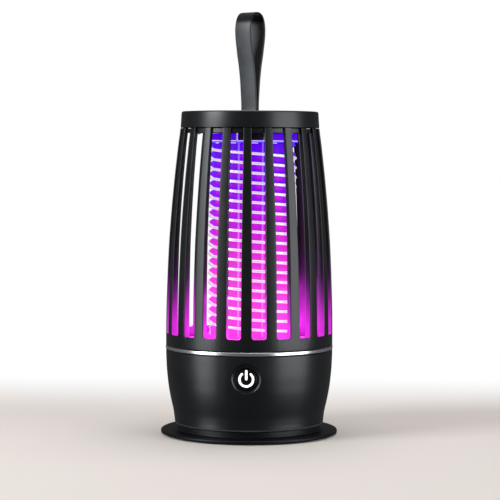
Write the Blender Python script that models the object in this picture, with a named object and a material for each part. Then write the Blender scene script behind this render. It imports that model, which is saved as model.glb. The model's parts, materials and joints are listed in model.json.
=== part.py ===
"""Portable electric bug zapper: tapered slatted cage over a wound high-voltage grid and a violet
lamp column, on a round housing with a power button, a wide round foot and a soft hanging loop.

Frame: origin at the middle of the underside, +Z up, the power button faces -Y (the front).
Sizes are in millimetres and angles in degrees from +X; finish() turns each piece into metres."""

import math

import bmesh
import bpy
from mathutils import Matrix, Vector

MM = 0.001
SIDES = 48               # sides of the large round pieces
FRONT_PHASE = math.radians(-90)   # puts the first vertex of a round piece at the front

# ---- driving dimensions -------------------------------------------------------------------------
GAP = 0.3                # shadow gap between stacked outer parts
FOOT_R = 55.5
FOOT_Z0, FOOT_Z1 = 0.5, 2.5
NECK_R, NECK_Z1 = 45.0, 6.2
FOOT_SCREW_R = 41.4      # circle of the foot screws
FOOT_SCREW_ANGLES = (30.0, 150.0, 270.0)

BASE_Z0, BASE_Z1 = NECK_Z1 + GAP, 52.8
WALL = 2.2
DECK_Z0, DECK_Z1 = 48.5, 50.5
DECK_HOLE_R = 12.0
COLLAR_R0, COLLAR_R1, COLLAR_Z1 = 46.0, 48.2, 59.0
LUG_ANGLES = (30.0, 150.0, 270.0)
LUG_HALF_ANGLE = 6
RING_Z0, RING_Z1, RING_R = BASE_Z1 + GAP, 55.4, 52.62
STANDOFF_R = 31.5        # circle of the main board's standoffs
STANDOFF_ANGLES = (90.0, 205.0, 335.0)

BUTTON_Z, BUTTON_R, DISH_R = 39.1, 6.6, 9.2
BUTTON_FACE = 50.9       # distance of the button's face in front of the axis
PORT_Z = 30.0
LIGHT_PIPE_X = 10.5
CELL_Y, CELL_Z = 10, 20.5

CAGE_Z0, SLOT_Z0, CAGE_Z1 = RING_Z1 + GAP, 63.2, 191.6
SLATS = 21
CAGE_SIDES = SLATS * 3
SLAT_DEPTH_LOW, SLAT_DEPTH_TOP = 4.3, 2.5      # the inner faces are drafted
SLAT_W_LOW, SLAT_W_MID, SLAT_W_TOP = 6.8, 6.3, 4.85
SLAT_MID_Z = 115.0
SLAT_CHAMFER = 0.45
SLOT_FILLET = 1.5

CAP_Z0, CAP_Z1 = CAGE_Z1 + GAP, 202.2
CAP_SCREW_R = 34.4
CAP_SCREW_ANGLES = (50.0, 170.0, 290.0)
POCKET_R, POCKET_Z = 9.9, 195.9
PIN_Z, PIN_R = 199.2, 1.0
STRAP_TURN = math.radians(-37.0)               # the band's width direction, from +X
PIN_DIR = Vector((math.cos(STRAP_TURN), math.sin(STRAP_TURN), 0.0))
STRAP_W, STRAP_T, STRAP_TOP = 12.2, 1.6, 265.0
STRAP_HALF_DEPTH = 8.0                         # at the loop's widest

AXIS = (0.0, 0.0)
COLUMN = COLUMN_X, COLUMN_Y = 1.7, 0.07        # the lamp column stands slightly off the axis
GRID_FRONT = -90.0 + 2.3                       # the grid's front line is turned a little
POST_ANGLES = [GRID_FRONT - 70.0 + 90.0 * k for k in range(4)]
FRAME_PHASE = math.radians(POST_ANGLES[0])
WIRE_R, WIRE_LEAD, WIRE_RAD = 27.1, 12.1, 0.85
WIRE_PITCH = WIRE_LEAD / 2.0                   # the two wires alternate
WIRE_TOP_Z = 175.9                             # height of the first front crossing
WIRE_ROWS = 19
FEED_R = 25.15
FEED_ANGLES = {"live": -20.2, "return": 14.3}  # from the grid's front line
TERMINAL_ANGLES = {"live": -18.6, "return": 13.4}
COMB_IN, COMB_OUT, NOTCH_R, TIP_R, COMB_T = 25.0, 28.0, 25.6, 28.9, 1.8
TOOTH_TRIM = 0.35                              # each tooth tip stops short of half way
FRAME_Z0, FRAME_LOW, FRAME_UP0, FRAME_UP1 = 50.8, 62.4, 182.7, 183.9
LAMP_R, LAMP_WALL, LAMP_Z0, LAMP_Z1 = 24.2, 1.2, 51.2, 182.2
LIGHT_RING_Z0 = 184.2

# outer profile of the body: (height, radius)
BODY = [
    (6.5, 46.1), (7.0, 46.55), (9.8, 46.95), (14.8, 47.7), (19.9, 48.9), (25.0, 49.95),
    (30.0, 50.8), (35.1, 51.4), (40.1, 51.9), (45.2, 52.2), (50.2, 52.4), (55.3, 52.45),
    (63.0, 52.45), (70.0, 52.42), (80.5, 52.25), (90.7, 51.95), (100.8, 51.62), (110.9, 51.2),
    (121.0, 50.7), (131.1, 50.0), (141.2, 49.25), (151.3, 48.35), (161.4, 47.4), (171.5, 46.3),
    (181.6, 45.15), (191.7, 43.85), (202.2, 43.1),
]
BODY_SKIPPED = (35.1, 45.2)   # heights the housing leaves out

# one outer side of the strap's loop: (height, half depth)
STRAP_SIDE = [
    (206.9, 1.65), (210.7, 1.95), (214.5, 2.25), (218.3, 2.6), (222.0, 2.95), (225.8, 3.5),
    (229.6, 4.1), (233.4, 4.85), (237.2, 5.75), (241.0, 6.4), (244.8, 7.1), (248.6, 7.7),
    (252.4, 8.0),
]


# ---- shapes: each is a pair (vertices, faces) ---------------------------------------------------
def polar(radius, degrees, center=AXIS):
    a = math.radians(degrees)
    return center[0] + radius * math.cos(a), center[1] + radius * math.sin(a)


def ring_points(radius, angles):
    return [polar(radius, a) for a in angles]


def lathe(profile, sides, center=AXIS, phase=0.0):
    """Revolve a closed loop of (radius, z) about a vertical line; the loop may touch the line."""
    verts, faces, rows = [], [], []
    for radius, z in profile:
        if radius < 1e-9:
            rows.append([len(verts)])
            verts.append((*center, z))
            continue
        rows.append(list(range(len(verts), len(verts) + sides)))
        for k in range(sides):
            a = phase + 2 * math.pi * k / sides
            x = center[0] + radius * math.cos(a)
            verts.append((x, center[1] + radius * math.sin(a), z))
    for row, after in zip(rows, rows[1:] + rows[:1]):
        if len(row) == 1 and len(after) == 1:
            continue
        for k in range(sides):
            m = (k + 1) % sides
            if len(row) == 1:
                faces.append((row[0], after[k], after[m]))
            elif len(after) == 1:
                faces.append((row[k], row[m], after[0]))
            else:
                faces.append((row[k], row[m], after[m], after[k]))
    return verts, faces


def prism(outline, z0, z1):
    n = len(outline)
    verts = [(x, y, z0) for x, y in outline] + [(x, y, z1) for x, y in outline]
    faces = [tuple(range(n)), tuple(range(n, 2 * n))]
    faces += [(i, (i + 1) % n, n + (i + 1) % n, n + i) for i in range(n)]
    return verts, faces


def box(x0, x1, y0, y1, z0, z1):
    return prism([(x0, y0), (x1, y0), (x1, y1), (x0, y1)], z0, z1)


def loft(rings):
    """Closed skin through rings of equally many points."""
    n = len(rings[0])
    verts = [v for ring in rings for v in ring]
    faces = []
    for start in range(0, len(verts) - n, n):
        for k in range(n):
            m = (k + 1) % n
            faces.append((start + k, start + m, start + n + m, start + n + k))
    faces += [tuple(range(n)), tuple(range(len(verts) - n, len(verts)))]
    return verts, faces


def moved(shape, matrix):
    verts, faces = shape
    return [matrix @ Vector(v) for v in verts], faces


def together(shapes):
    verts, faces = [], []
    for v, f in shapes:
        start = len(verts)
        verts += list(v)
        faces += [tuple(i + start for i in face) for face in f]
    return verts, faces


def rod(start, end, radius, sides=12):
    """Round bar between two points."""
    start = Vector(start)
    span = Vector(end) - start
    turn = span.to_track_quat("Z", "Y").to_matrix().to_4x4()
    angles = [2 * math.pi * k / sides for k in range(sides)]
    outline = [(radius * math.cos(a), radius * math.sin(a)) for a in angles]
    return moved(prism(outline, 0.0, span.length), Matrix.Translation(start) @ turn)


def uprights(points, z0, z1, radius, sides=12):
    """Vertical round bars standing at points (x, y)."""
    return together([rod((x, y, z0), (x, y, z1), radius, sides) for x, y in points])


def pin_rod(half_length, radius):
    """Round bar along the strap pin's line."""
    center = Vector((0, 0, PIN_Z))
    return rod(-PIN_DIR * half_length + center, PIN_DIR * half_length + center, radius, 16)


def tube_along(points, radius, sides, up, offset):
    """Round bar along a line of points; offset turns its section, in sides."""
    points = [Vector(p) for p in points]
    rings = []
    for i, p in enumerate(points):
        along = (points[min(i + 1, len(points) - 1)] - points[max(i - 1, 0)]).normalized()
        side = along.cross(up).normalized()
        top = side.cross(along).normalized()
        angles = [2 * math.pi * (k + offset) / sides for k in range(sides)]
        rings.append([
            p + radius * math.cos(a) * side + radius * math.sin(a) * top for a in angles
        ])
    return loft(rings)


def arc_block(inner, outer, start, end, z0, z1, steps=4, center=AXIS):
    """Block bent round a vertical line."""
    angles = [start + (end - start) * k / steps for k in range(steps + 1)]
    outline = [polar(outer, a, center) for a in angles]
    outline += [polar(inner, a, center) for a in reversed(angles)]
    return prism(outline, z0, z1)


def lugs(inner, outer, z0, z1):
    """The three bayonet lugs."""
    return together([
        arc_block(inner, outer, a - LUG_HALF_ANGLE, a + LUG_HALF_ANGLE, z0, z1)
        for a in LUG_ANGLES
    ])


def round_rect(width, height, radius, steps=4, center=AXIS):
    points = []
    for sx, sy, first in ((1, 1, 0), (-1, 1, 90), (-1, -1, 180), (1, -1, 270)):
        corner = sx * (width / 2 - radius), sy * (height / 2 - radius)
        for k in range(steps + 1):
            x, y = polar(radius, first + 90 * k / steps, corner)
            points.append((x + center[0], y + center[1]))
    return points


def facing_front(shape):
    """Lay a shape on the button's axis: local +Z points to -Y, local +Y points up."""
    place = Matrix.Translation((0, 0, BUTTON_Z)) @ Matrix.Rotation(math.radians(90), 4, "X")
    return moved(shape, place)


def facing_rear(shape):
    """Lay a shape on the port's axis: local +Z points to +Y."""
    place = Matrix.Translation((0, 0, PORT_Z)) @ Matrix.Rotation(math.radians(-90), 4, "X")
    return moved(shape, place)


def body_radius(height):
    """Radius of the outer profile, by linear interpolation."""
    for (z0, r0), (z1, r1) in zip(BODY, BODY[1:]):
        if height <= z1:
            return r0 + (r1 - r0) * (height - z0) / (z1 - z0)


# ---- objects ------------------------------------------------------------------------------------
def raw(shape):
    """A loose mesh object in millimetres, used to build or to cut."""
    verts, faces = shape
    mesh = bpy.data.meshes.new("tool")
    bm = bmesh.new()
    made = [bm.verts.new(v) for v in verts]
    for face in faces:
        bm.faces.new([made[i] for i in face])
    bmesh.ops.recalc_face_normals(bm, faces=bm.faces)
    bm.to_mesh(mesh)
    bm.free()
    obj = bpy.data.objects.new("tool", mesh)
    bpy.context.scene.collection.objects.link(obj)
    return obj


def combine(target, shape, operation):
    """Boolean of target with shape, kept as plain mesh."""
    tool = raw(shape)
    mod = target.modifiers.new("op", "BOOLEAN")
    mod.object = tool
    mod.operation = operation
    mod.solver = "EXACT"
    graph = bpy.context.evaluated_depsgraph_get()
    graph.update()
    mesh = bpy.data.meshes.new_from_object(target.evaluated_get(graph))
    target.modifiers.clear()
    target.data = mesh
    bpy.data.objects.remove(tool, do_unlink=True)


def cut(target, shape):
    combine(target, shape, "DIFFERENCE")


def join(target, shape):
    combine(target, shape, "UNION")


def finish(target, name, mat, pivot=(0.0, 0.0, 0.0), sharp=32.0, smooth=True):
    """Millimetre mesh to a named object in metres, with its origin at pivot (mm)."""
    mesh = target.data
    mesh.transform(Matrix.Scale(MM, 4) @ Matrix.Translation(-Vector(pivot)))
    bm = bmesh.new()
    bm.from_mesh(mesh)
    bmesh.ops.remove_doubles(bm, verts=bm.verts, dist=2e-7)
    bmesh.ops.dissolve_degenerate(bm, edges=bm.edges, dist=2e-7)
    bmesh.ops.recalc_face_normals(bm, faces=bm.faces)
    bm.to_mesh(mesh)
    bm.free()
    mesh.materials.clear()
    mesh.materials.append(mat)
    mesh.name = name
    target.name = name
    target.location = Vector(pivot) * MM
    if smooth:
        mesh.shade_smooth()
        mesh.set_sharp_from_angle(angle=math.radians(sharp))


def make(name, shape, mat, **options):
    finish(raw(shape), name, mat, **options)


def make_screws(prefix, points, profile, sides):
    for i, point in enumerate(points, 1):
        make(f"{prefix}_{i}", lathe(profile, sides, point), STEEL)


def material(name, colour, roughness, metallic=0.0, alpha=1.0, glow=None, strength=0.0):
    mat = bpy.data.materials.new(name)
    mat.use_nodes = True
    inputs = mat.node_tree.nodes["Principled BSDF"].inputs
    inputs["Base Color"].default_value = (*colour, 1.0)
    inputs["Roughness"].default_value = roughness
    inputs["Metallic"].default_value = metallic
    inputs["Alpha"].default_value = alpha
    if glow:
        inputs["Emission Color"].default_value = (*glow, 1.0)
        inputs["Emission Strength"].default_value = strength
    mat.diffuse_color = (*colour, alpha)
    return mat


for old in list(bpy.data.objects):
    bpy.data.objects.remove(old, do_unlink=True)

BLACK = material("satin_black_plastic", colour=(0.018, 0.018, 0.02), roughness=0.38)
FOOT_BLACK = material("satin_black_foot", colour=(0.012, 0.013, 0.016), roughness=0.3)
RUBBER = material("black_rubber", colour=(0.02, 0.02, 0.02), roughness=0.85)
TRIM = material("bright_trim", colour=(0.82, 0.83, 0.85), roughness=0.16, metallic=1.0)
STEEL = material("screw_steel", colour=(0.55, 0.56, 0.58), roughness=0.32, metallic=1.0)
WIRE = material("grid_steel_wire", colour=(0.9, 0.89, 0.92), roughness=0.2, metallic=1.0)
BRASS = material("terminal_brass", colour=(0.8, 0.68, 0.42), roughness=0.3, metallic=1.0)
CLEAR = material("clear_comb_plastic", colour=(0.86, 0.84, 0.95), roughness=0.15, alpha=0.55)
LAMP = material("lamp_diffuser_violet", colour=(0.55, 0.2, 0.95), roughness=0.5,
                glow=(0.42, 0.03, 1.0), strength=2.0)
SYMBOL = material("symbol_light_guide", colour=(0.95, 0.97, 1.0), roughness=0.4,
                  glow=(0.9, 0.95, 1.0), strength=3.0)
TRAY = material("tray_plastic", colour=(0.5, 0.5, 0.53), roughness=0.35)
GREEN_BOARD = material("board_green", colour=(0.03, 0.22, 0.1), roughness=0.5)
WHITE_BOARD = material("board_white", colour=(0.85, 0.86, 0.86), roughness=0.5)
ALUMINIUM = material("core_aluminium", colour=(0.7, 0.71, 0.73), roughness=0.4, metallic=1.0)
CELL_BLUE = material("cell_sleeve_blue", colour=(0.05, 0.16, 0.45), roughness=0.4)
RESIN = material("capacitor_resin", colour=(0.35, 0.1, 0.04), roughness=0.35)
FERRITE = material("transformer_ferrite", colour=(0.08, 0.075, 0.07), roughness=0.6)
LED = material("led_phosphor", colour=(0.75, 0.7, 0.9), roughness=0.4,
               glow=(0.4, 0.05, 1.0), strength=4.0)
LEAD_RED = material("lead_red", colour=(0.6, 0.03, 0.02), roughness=0.5)
LEAD_BLACK = material("lead_black", colour=(0.02, 0.02, 0.022), roughness=0.5)
STRAP_BLACK = material("strap_soft_black", colour=(0.02, 0.021, 0.024), roughness=0.5)

foot_screw_points = ring_points(FOOT_SCREW_R, FOOT_SCREW_ANGLES)
standoff_points = ring_points(STANDOFF_R, STANDOFF_ANGLES)
cap_screw_points = ring_points(CAP_SCREW_R, CAP_SCREW_ANGLES)
feed_points = {k: polar(FEED_R, GRID_FRONT + a, COLUMN) for k, a in FEED_ANGLES.items()}


# ---- foot ---------------------------------------------------------------------------------------
def build_foot():
    """Flat disc with a neck and an inner spigot, its rubber pad and screws."""
    foot = raw(lathe([
        (0.0, FOOT_Z0), (45.6, FOOT_Z0), (45.6, 1.4), (53.2, 1.4), (53.2, FOOT_Z0),
        (55.3, FOOT_Z0), (FOOT_R, 1.2), (FOOT_R, 1.8), (55.3, FOOT_Z1), (46.0, FOOT_Z1),
        (NECK_R, 3.4), (NECK_R, NECK_Z1), (43.9, NECK_Z1), (43.9, 8.2), (38.4, 8.2),
        (38.4, FOOT_Z1), (0.0, FOOT_Z1),
    ], SIDES))
    cut(foot, uprights(foot_screw_points, -1, 9.5, radius=1.3))
    cut(foot, uprights(foot_screw_points, -1, 4.0, radius=2.9, sides=16))
    finish(foot, "foot_plate", FOOT_BLACK)
    make("foot_pad", lathe([(46.0, 0.0), (52.9, 0.0), (52.9, 1.1), (46.0, 1.1)], 40), RUBBER)
    make_screws("foot_screw", foot_screw_points, [
        (0.0, 3.0), (1.0, 2.4), (2.2, 2.4), (2.55, 2.8), (2.55, 3.7), (1.0, 3.7), (1.0, 17.0),
        (0.0, 17.6),
    ], 12)


# ---- housing ------------------------------------------------------------------------------------
def housing_shell():
    """Shell, deck and collar in one revolved section."""
    outside = [(r, z) for z, r in BODY if z < BASE_Z1 - 0.5 and z not in BODY_SKIPPED]
    rim = [
        (52.35, BASE_Z1 - 0.4), (51.9, BASE_Z1), (COLLAR_R1, BASE_Z1), (COLLAR_R1, COLLAR_Z1),
        (COLLAR_R0, COLLAR_Z1), (COLLAR_R0, DECK_Z1), (DECK_HOLE_R, DECK_Z1),
        (DECK_HOLE_R, DECK_Z0),
    ]
    inside = [(body_radius(z) - WALL, z) for z in (DECK_Z0, 40.1, 30.0, 19.9, 9.8)]
    inside += [(44.35, 8.4), (44.35, BASE_Z0)]
    return lathe(outside + rim + inside, SIDES, phase=FRONT_PHASE)


def build_housing():
    housing = raw(housing_shell())
    screw_bosses = [
        moved(box(38.2, 46.3, -3.6, 3.6, 8.6, 22.0), Matrix.Rotation(math.radians(a), 4, "Z"))
        for a in FOOT_SCREW_ANGLES
    ]
    join(housing, together([*screw_bosses, uprights(standoff_points, 45.5, 49.5, radius=2.4)]))
    join(housing, lugs(47.4, 49.7, 57.15, 58.4))
    cut(housing, together([
        uprights(foot_screw_points, 8.0, 19.0, radius=1.15),
        uprights(standoff_points, 44.0, 48.0, radius=0.95, sides=10),
    ]))
    # thicker seat behind the button, then its bore and dish
    seat = [(0.0, 47.95), (9.6, 47.95), (9.6, 50.3), (0.0, 50.3)]
    join(housing, facing_front(lathe(seat, 40)))
    bore_r = BUTTON_R + 0.3
    cut(housing, facing_front(lathe([
        (0.0, 44.0), (bore_r, 44.0), (bore_r, 50.05), (8.2, 50.45), (DISH_R, 51.3),
        (10.9, 53.7), (0.0, 53.7),
    ], 48)))
    # port window, light-pipe hole, and holes in the deck for the feed rods
    cut(housing, facing_rear(prism(round_rect(9.7, 4.0, 1.9), 44.0, 54.0)))
    cut(housing, rod((LIGHT_PIPE_X, 42.0, PORT_Z), (LIGHT_PIPE_X, 55.0, PORT_Z), 1.45, 14))
    cut(housing, uprights(feed_points.values(), 47.5, 52.0, radius=1.0))
    finish(housing, "base_housing", BLACK)


def build_trim_ring():
    make("trim_ring", lathe([
        (48.5, RING_Z0), (52.3, RING_Z0), (RING_R, RING_Z0 + 0.35), (RING_R, RING_Z1 - 0.35),
        (52.3, RING_Z1), (48.5, RING_Z1),
    ], CAGE_SIDES), TRIM)


# ---- power button, its light guide, and the switch behind ---------------------------------------
def power_sign(outer, inner, gap, bar_width, bar_low, bar_high, z0, z1):
    """Open ring and upright bar of the power sign; gap is half the opening, local y is up."""
    ring = arc_block(inner, outer, 90 + gap, 450 - gap, z0, z1, steps=12)
    bar = round_rect(bar_width, bar_high - bar_low, bar_width / 2 - 0.01, 3,
                     center=(0.0, (bar_high + bar_low) / 2))
    return facing_front(together([ring, prism(bar, z0, z1)]))


def build_button():
    pivot = (0, -BUTTON_FACE, BUTTON_Z)
    button = raw(facing_front(lathe([
        (0.0, 50.0), (5.7, 50.0), (5.7, 46.7), (7.5, 46.7), (7.5, 47.6), (BUTTON_R, 47.6),
        (BUTTON_R, 50.55), (6.15, BUTTON_FACE), (0.0, BUTTON_FACE),
    ], 30)))
    cut(button, power_sign(outer=5.0, inner=3.25, gap=40.0, bar_width=1.9,
                           bar_low=-0.75, bar_high=5.95, z0=49.0, z1=51.7))
    finish(button, "power_button", BLACK, pivot=pivot)

    guide = raw(facing_front(lathe([
        (0.0, 47.3), (1.8, 47.3), (1.8, 48.6), (5.4, 48.6), (5.4, 49.8), (0.0, 49.8),
    ], 20)))
    join(guide, power_sign(outer=4.8, inner=3.45, gap=42.0, bar_width=1.6,
                           bar_low=-0.6, bar_high=5.65, z0=49.3, z1=50.95))
    finish(guide, "button_light_guide", SYMBOL, pivot=pivot)


def build_switch():
    plunger = [(0.0, 44.0), (1.7, 44.0), (1.7, 46.7), (1.5, 46.9), (0.0, 46.9)]
    make("switch_plunger", facing_front(lathe(plunger, 16)), LEAD_BLACK,
         pivot=(0, -45.7, BUTTON_Z))
    switch = raw(facing_front(box(-3.1, 3.1, -3.1, 3.1, 41.9, 45.4)))
    bore = [(0.0, 43.5), (1.85, 43.5), (1.85, 46.7), (0.0, 46.7)]
    cut(switch, facing_front(lathe(bore, 16)))
    finish(switch, "switch_body", STEEL, smooth=False)
    make("switch_board", facing_front(box(-9, 9, -7, 7, 40.3, 41.6)), GREEN_BOARD, smooth=False)


# ---- electronics inside the housing -------------------------------------------------------------
def build_main_board():
    board = raw(lathe([(0.0, 43.6), (36.0, 43.6), (36.0, 45.2), (0.0, 45.2)], 32))
    cut(board, uprights(standoff_points, 42, 47, radius=1.2, sides=10))
    finish(board, "main_board", GREEN_BOARD)
    make_screws("board_screw", standoff_points, [
        (0.0, 42.2), (1.7, 42.2), (2.0, 42.6), (2.0, 43.3), (0.8, 43.3), (0.8, 47.4),
        (0.0, 47.6),
    ], 10)
    core = raw(box(-26, -10, -23, -9, 29.5, 43.3))
    windows = [box(-28, -22.5, -20, -12, 32.0, 40.5), box(-13.5, -8, -20, -12, 32.0, 40.5)]
    cut(core, together(windows))
    finish(core, "hv_transformer_core", FERRITE, smooth=False)
    capacitor = round_rect(18, 9, 1.6, 3, center=(12, -18))
    make("hv_capacitor", prism(capacitor, 31.0, 43.3), RESIN)


def build_battery():
    """Cell lying along X, its cradle and the two leads."""
    lying = Matrix.Translation((0, CELL_Y, CELL_Z)) @ Matrix.Rotation(math.radians(90), 4, "Y")
    make("battery_cell", moved(lathe([
        (0.0, -32.5), (8.6, -32.5), (9.15, -32.0), (9.15, 30.6), (8.6, 31.1), (3.2, 31.1),
        (3.2, 32.5), (0.0, 32.5),
    ], 28), lying), CELL_BLUE)
    cradle = raw(box(-22, 22, -1, 21, 2.8, 16.0))
    cut(cradle, rod((-30, CELL_Y, CELL_Z), (30, CELL_Y, CELL_Z), 9.5, 28))
    finish(cradle, "battery_cradle", BLACK, smooth=False)
    # the lead's path on the +X side: (x, y, z)
    path = [
        (33.3, CELL_Y, CELL_Z), (34.2, 10.2, 22.0), (34.3, 10, 30), (33.6, 9.2, 38),
        (32.6, 8.6, 43.3),
    ]
    for name, side, mat in (("red", 1, LEAD_RED), ("black", -1, LEAD_BLACK)):
        points = [(side * x, y, z) for x, y, z in path]
        lead = tube_along(points, radius=0.6, sides=6, up=Vector((0, 1, 0)), offset=0.5)
        make(f"battery_lead_{name}", lead, mat)


def build_charge_port():
    """Socket at the rear with its tongue, its board, and the light pipe beside it."""
    socket = raw(facing_rear(prism(round_rect(8.94, 3.26, 1.55), 43.4, 50.4)))
    cut(socket, facing_rear(prism(round_rect(8.3, 2.6, 1.25), 44.2, 52.0)))
    join(socket, facing_rear(box(-3.3, 3.3, -0.35, 0.35, 43.8, 49.4)))
    finish(socket, "usb_socket", STEEL)
    make("charge_board", box(-11, 13, 37.0, 45.4, 26.7, 28.0), GREEN_BOARD, smooth=False)
    pipe = rod((LIGHT_PIPE_X, 43.5, PORT_Z), (LIGHT_PIPE_X, 49.5, PORT_Z), 1.2, 14)
    make("charge_light_pipe", pipe, CLEAR)


def build_insect_tray():
    """Ring-shaped dish round the grid."""
    make("insect_tray", lathe([
        (31.9, 50.9), (45.2, 50.9), (45.6, 51.3), (45.6, 57.6), (44.4, 57.6), (44.4, 52.6),
        (43.9, 52.1), (33.6, 52.1), (33.1, 52.6), (33.1, 56.0), (31.9, 56.0),
    ], SIDES), TRAY, pivot=(0, 0, 50.9))


# ---- lamp column --------------------------------------------------------------------------------
def column_box(name, mat, half_width, y0, y1, z0, z1):
    """Box centred on the column in x, with y measured from the column's axis."""
    shape = box(COLUMN_X - half_width, COLUMN_X + half_width, COLUMN_Y + y0, COLUMN_Y + y1, z0, z1)
    make(name, shape, mat, smooth=False)


def build_lamp():
    """Core bar, two light strips with four LEDs each, and the diffuser tube."""
    column_box("led_core", ALUMINIUM, 6, -2.5, 2.5, 50.9, 178.0)
    column_box("led_strip_front", WHITE_BOARD, 5, -3.8, -2.8, 58.0, 176.0)
    column_box("led_strip_rear", WHITE_BOARD, 5, 2.8, 3.8, 58.0, 176.0)
    half_led, led_z0, led_pitch = 1.75, 72.0, 30.0
    for i in range(8):
        z = led_z0 + led_pitch * (i % 4)
        side = -1 if i < 4 else 1
        y0, y1 = sorted((side * 4.1, side * 5.0))
        column_box(f"uv_led_{i + 1}", LED, half_led, y0, y1, z - half_led, z + half_led)
    inner = LAMP_R - LAMP_WALL
    make("lamp_diffuser", lathe([
        (inner, LAMP_Z0), (LAMP_R, LAMP_Z0), (LAMP_R, LAMP_Z1), (inner, LAMP_Z1),
    ], 36, COLUMN), LAMP)


# ---- grid ---------------------------------------------------------------------------------------
def wire_height(degrees, row):
    """Height of wire crossing number row at this angle."""
    return WIRE_TOP_Z - WIRE_LEAD * (degrees - GRID_FRONT) / 360.0 - row * WIRE_PITCH


def comb(degrees):
    """Upright post with a notch for every wire crossing."""
    rows = sorted(wire_height(degrees, row) for row in range(-2, WIRE_ROWS))
    rows = [z for z in rows if FRAME_LOW + 1.0 < z - 0.3 and z + 1.0 < FRAME_UP0]
    reach = WIRE_PITCH / 2.0 - TOOTH_TRIM
    foot_z, head_z = FRAME_LOW - 1.2, FRAME_UP1 - 0.5
    # (radius, height)
    outline = [(COMB_IN, foot_z), (COMB_OUT, foot_z), (COMB_OUT, rows[0] - reach - 0.15)]
    for z in rows:
        high = min(z + reach, FRAME_UP0 - 0.25)
        outline += [(TIP_R, z - reach), (NOTCH_R, z), (TIP_R, high)]
    outline += [(COMB_OUT, FRAME_UP0 - 0.05), (COMB_OUT, head_z), (COMB_IN, head_z)]
    stand_up = Matrix(((1, 0, 0, 0), (0, 0, 1, 0), (0, 1, 0, 0), (0, 0, 0, 1)))
    turn = Matrix.Rotation(math.radians(degrees), 4, "Z")
    place = Matrix.Translation((*COLUMN, 0)) @ turn @ stand_up
    return moved(prism(outline, -COMB_T / 2, COMB_T / 2), place)


def build_grid_frame():
    """Lower ring, four toothed combs and upper ring in one moulding."""
    frame = raw(lathe([
        (26.1, FRAME_Z0), (29.6, FRAME_Z0), (29.6, 52.6), (28.5, 53.0), (28.5, FRAME_LOW - 0.3),
        (28.2, FRAME_LOW), (26.1, FRAME_LOW),
    ], 36, COLUMN, FRAME_PHASE))
    join(frame, together([comb(a) for a in POST_ANGLES]))
    join(frame, lathe([
        (26.1, FRAME_UP0), (28.6, FRAME_UP0), (28.6, FRAME_UP1), (26.1, FRAME_UP1),
    ], 36, COLUMN, FRAME_PHASE))
    finish(frame, "grid_frame", CLEAR)


def winding(row, start, sweep, step=18.0):
    """Left-handed coil: it drops as the angle grows."""
    angles = [start + k * step for k in range(int(round(sweep / step)) + 1)]
    points = [(*polar(WIRE_R, a, COLUMN), wire_height(a, row)) for a in angles]
    return tube_along(points, WIRE_RAD, sides=4, up=Vector((0, 0, 1)), offset=0.0)


def build_grid_wires():
    """Two wires, one between the turns of the other, and their feed rods."""
    first = POST_ANGLES[0]
    make("grid_wire_live", winding(0, first, 9 * 360 + 140), WIRE, sharp=50)
    make("grid_wire_return", winding(1, first - 90, 8 * 360 + 220), WIRE, sharp=50)
    for name, point in feed_points.items():
        feed = uprights([point], 45.6, 183.6, radius=0.55, sides=10)
        make(f"feed_rod_{name}", feed, WIRE)


def build_grid_top():
    """Upper light ring, terminal block and its two pins."""
    low, high = LIGHT_RING_Z0, 188.2
    ring = lathe([(26.3, low), (28.2, low), (28.2, high), (26.3, high)], 36, COLUMN)
    make("upper_light_ring", ring, LAMP)
    block = arc_block(28.5, 30.4, GRID_FRONT - 17, GRID_FRONT + 13, LIGHT_RING_Z0, 188.3,
                      steps=5, center=COLUMN)
    make("terminal_block", block, BLACK, smooth=False)
    for name, angle in TERMINAL_ANGLES.items():
        point = polar(31.2, GRID_FRONT + angle, COLUMN)
        pin = uprights([point], 183.4, 188.3, radius=0.5, sides=10)
        make(f"terminal_pin_{name}", pin, BRASS)


# ---- cage ---------------------------------------------------------------------------------------
def slat_width(z):
    """Width of a slat, flaring into the fillet at the foot of the slots."""
    if z <= SLAT_MID_Z:
        part = (z - SLOT_Z0) / (SLAT_MID_Z - SLOT_Z0)
        width = SLAT_W_LOW + (SLAT_W_MID - SLAT_W_LOW) * part
    else:
        part = (z - SLAT_MID_Z) / (CAGE_Z1 - SLAT_MID_Z)
        width = SLAT_W_MID + (SLAT_W_TOP - SLAT_W_MID) * part
    rise = z - SLOT_Z0
    if rise < SLOT_FILLET:
        width += 2 * (SLOT_FILLET - math.sqrt(SLOT_FILLET ** 2 - (SLOT_FILLET - rise) ** 2))
    return width


def slat(index):
    """One slat: chamfered bar that follows the tapered profile."""
    stations = [SLOT_Z0 - 1.2, SLOT_Z0 + 0.02, SLOT_Z0 + 0.5, SLOT_Z0 + 1.5,
                85.0, 110.9, 136.0, 161.4, CAGE_Z1]
    turn = Matrix.Rotation(math.radians(-90.0 + 360.0 * index / SLATS), 4, "Z")
    rings = []
    for z in stations:
        slot_z = max(z, SLOT_Z0)
        part = (slot_z - SLOT_Z0) / (CAGE_Z1 - SLOT_Z0)
        outer = body_radius(z)
        inner = outer - (SLAT_DEPTH_LOW + (SLAT_DEPTH_TOP - SLAT_DEPTH_LOW) * part)
        half = slat_width(slot_z) / 2
        if z < SLOT_Z0:
            # the root shrinks to stay inside the lower band
            half -= 0.3
            inner += 1.6
            outer -= 0.35
        sag = outer - math.sqrt(outer * outer - half * half)
        shoulder, face = outer - sag - SLAT_CHAMFER, outer - sag * 0.6
        flat = half - SLAT_CHAMFER
        section = [(inner, -half), (shoulder, -half), (face, -flat), (face, flat),
                   (shoulder, half), (inner, half)]
        rings.append([turn @ Vector((x, y, z)) for x, y in section])
    return loft(rings)


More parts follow.
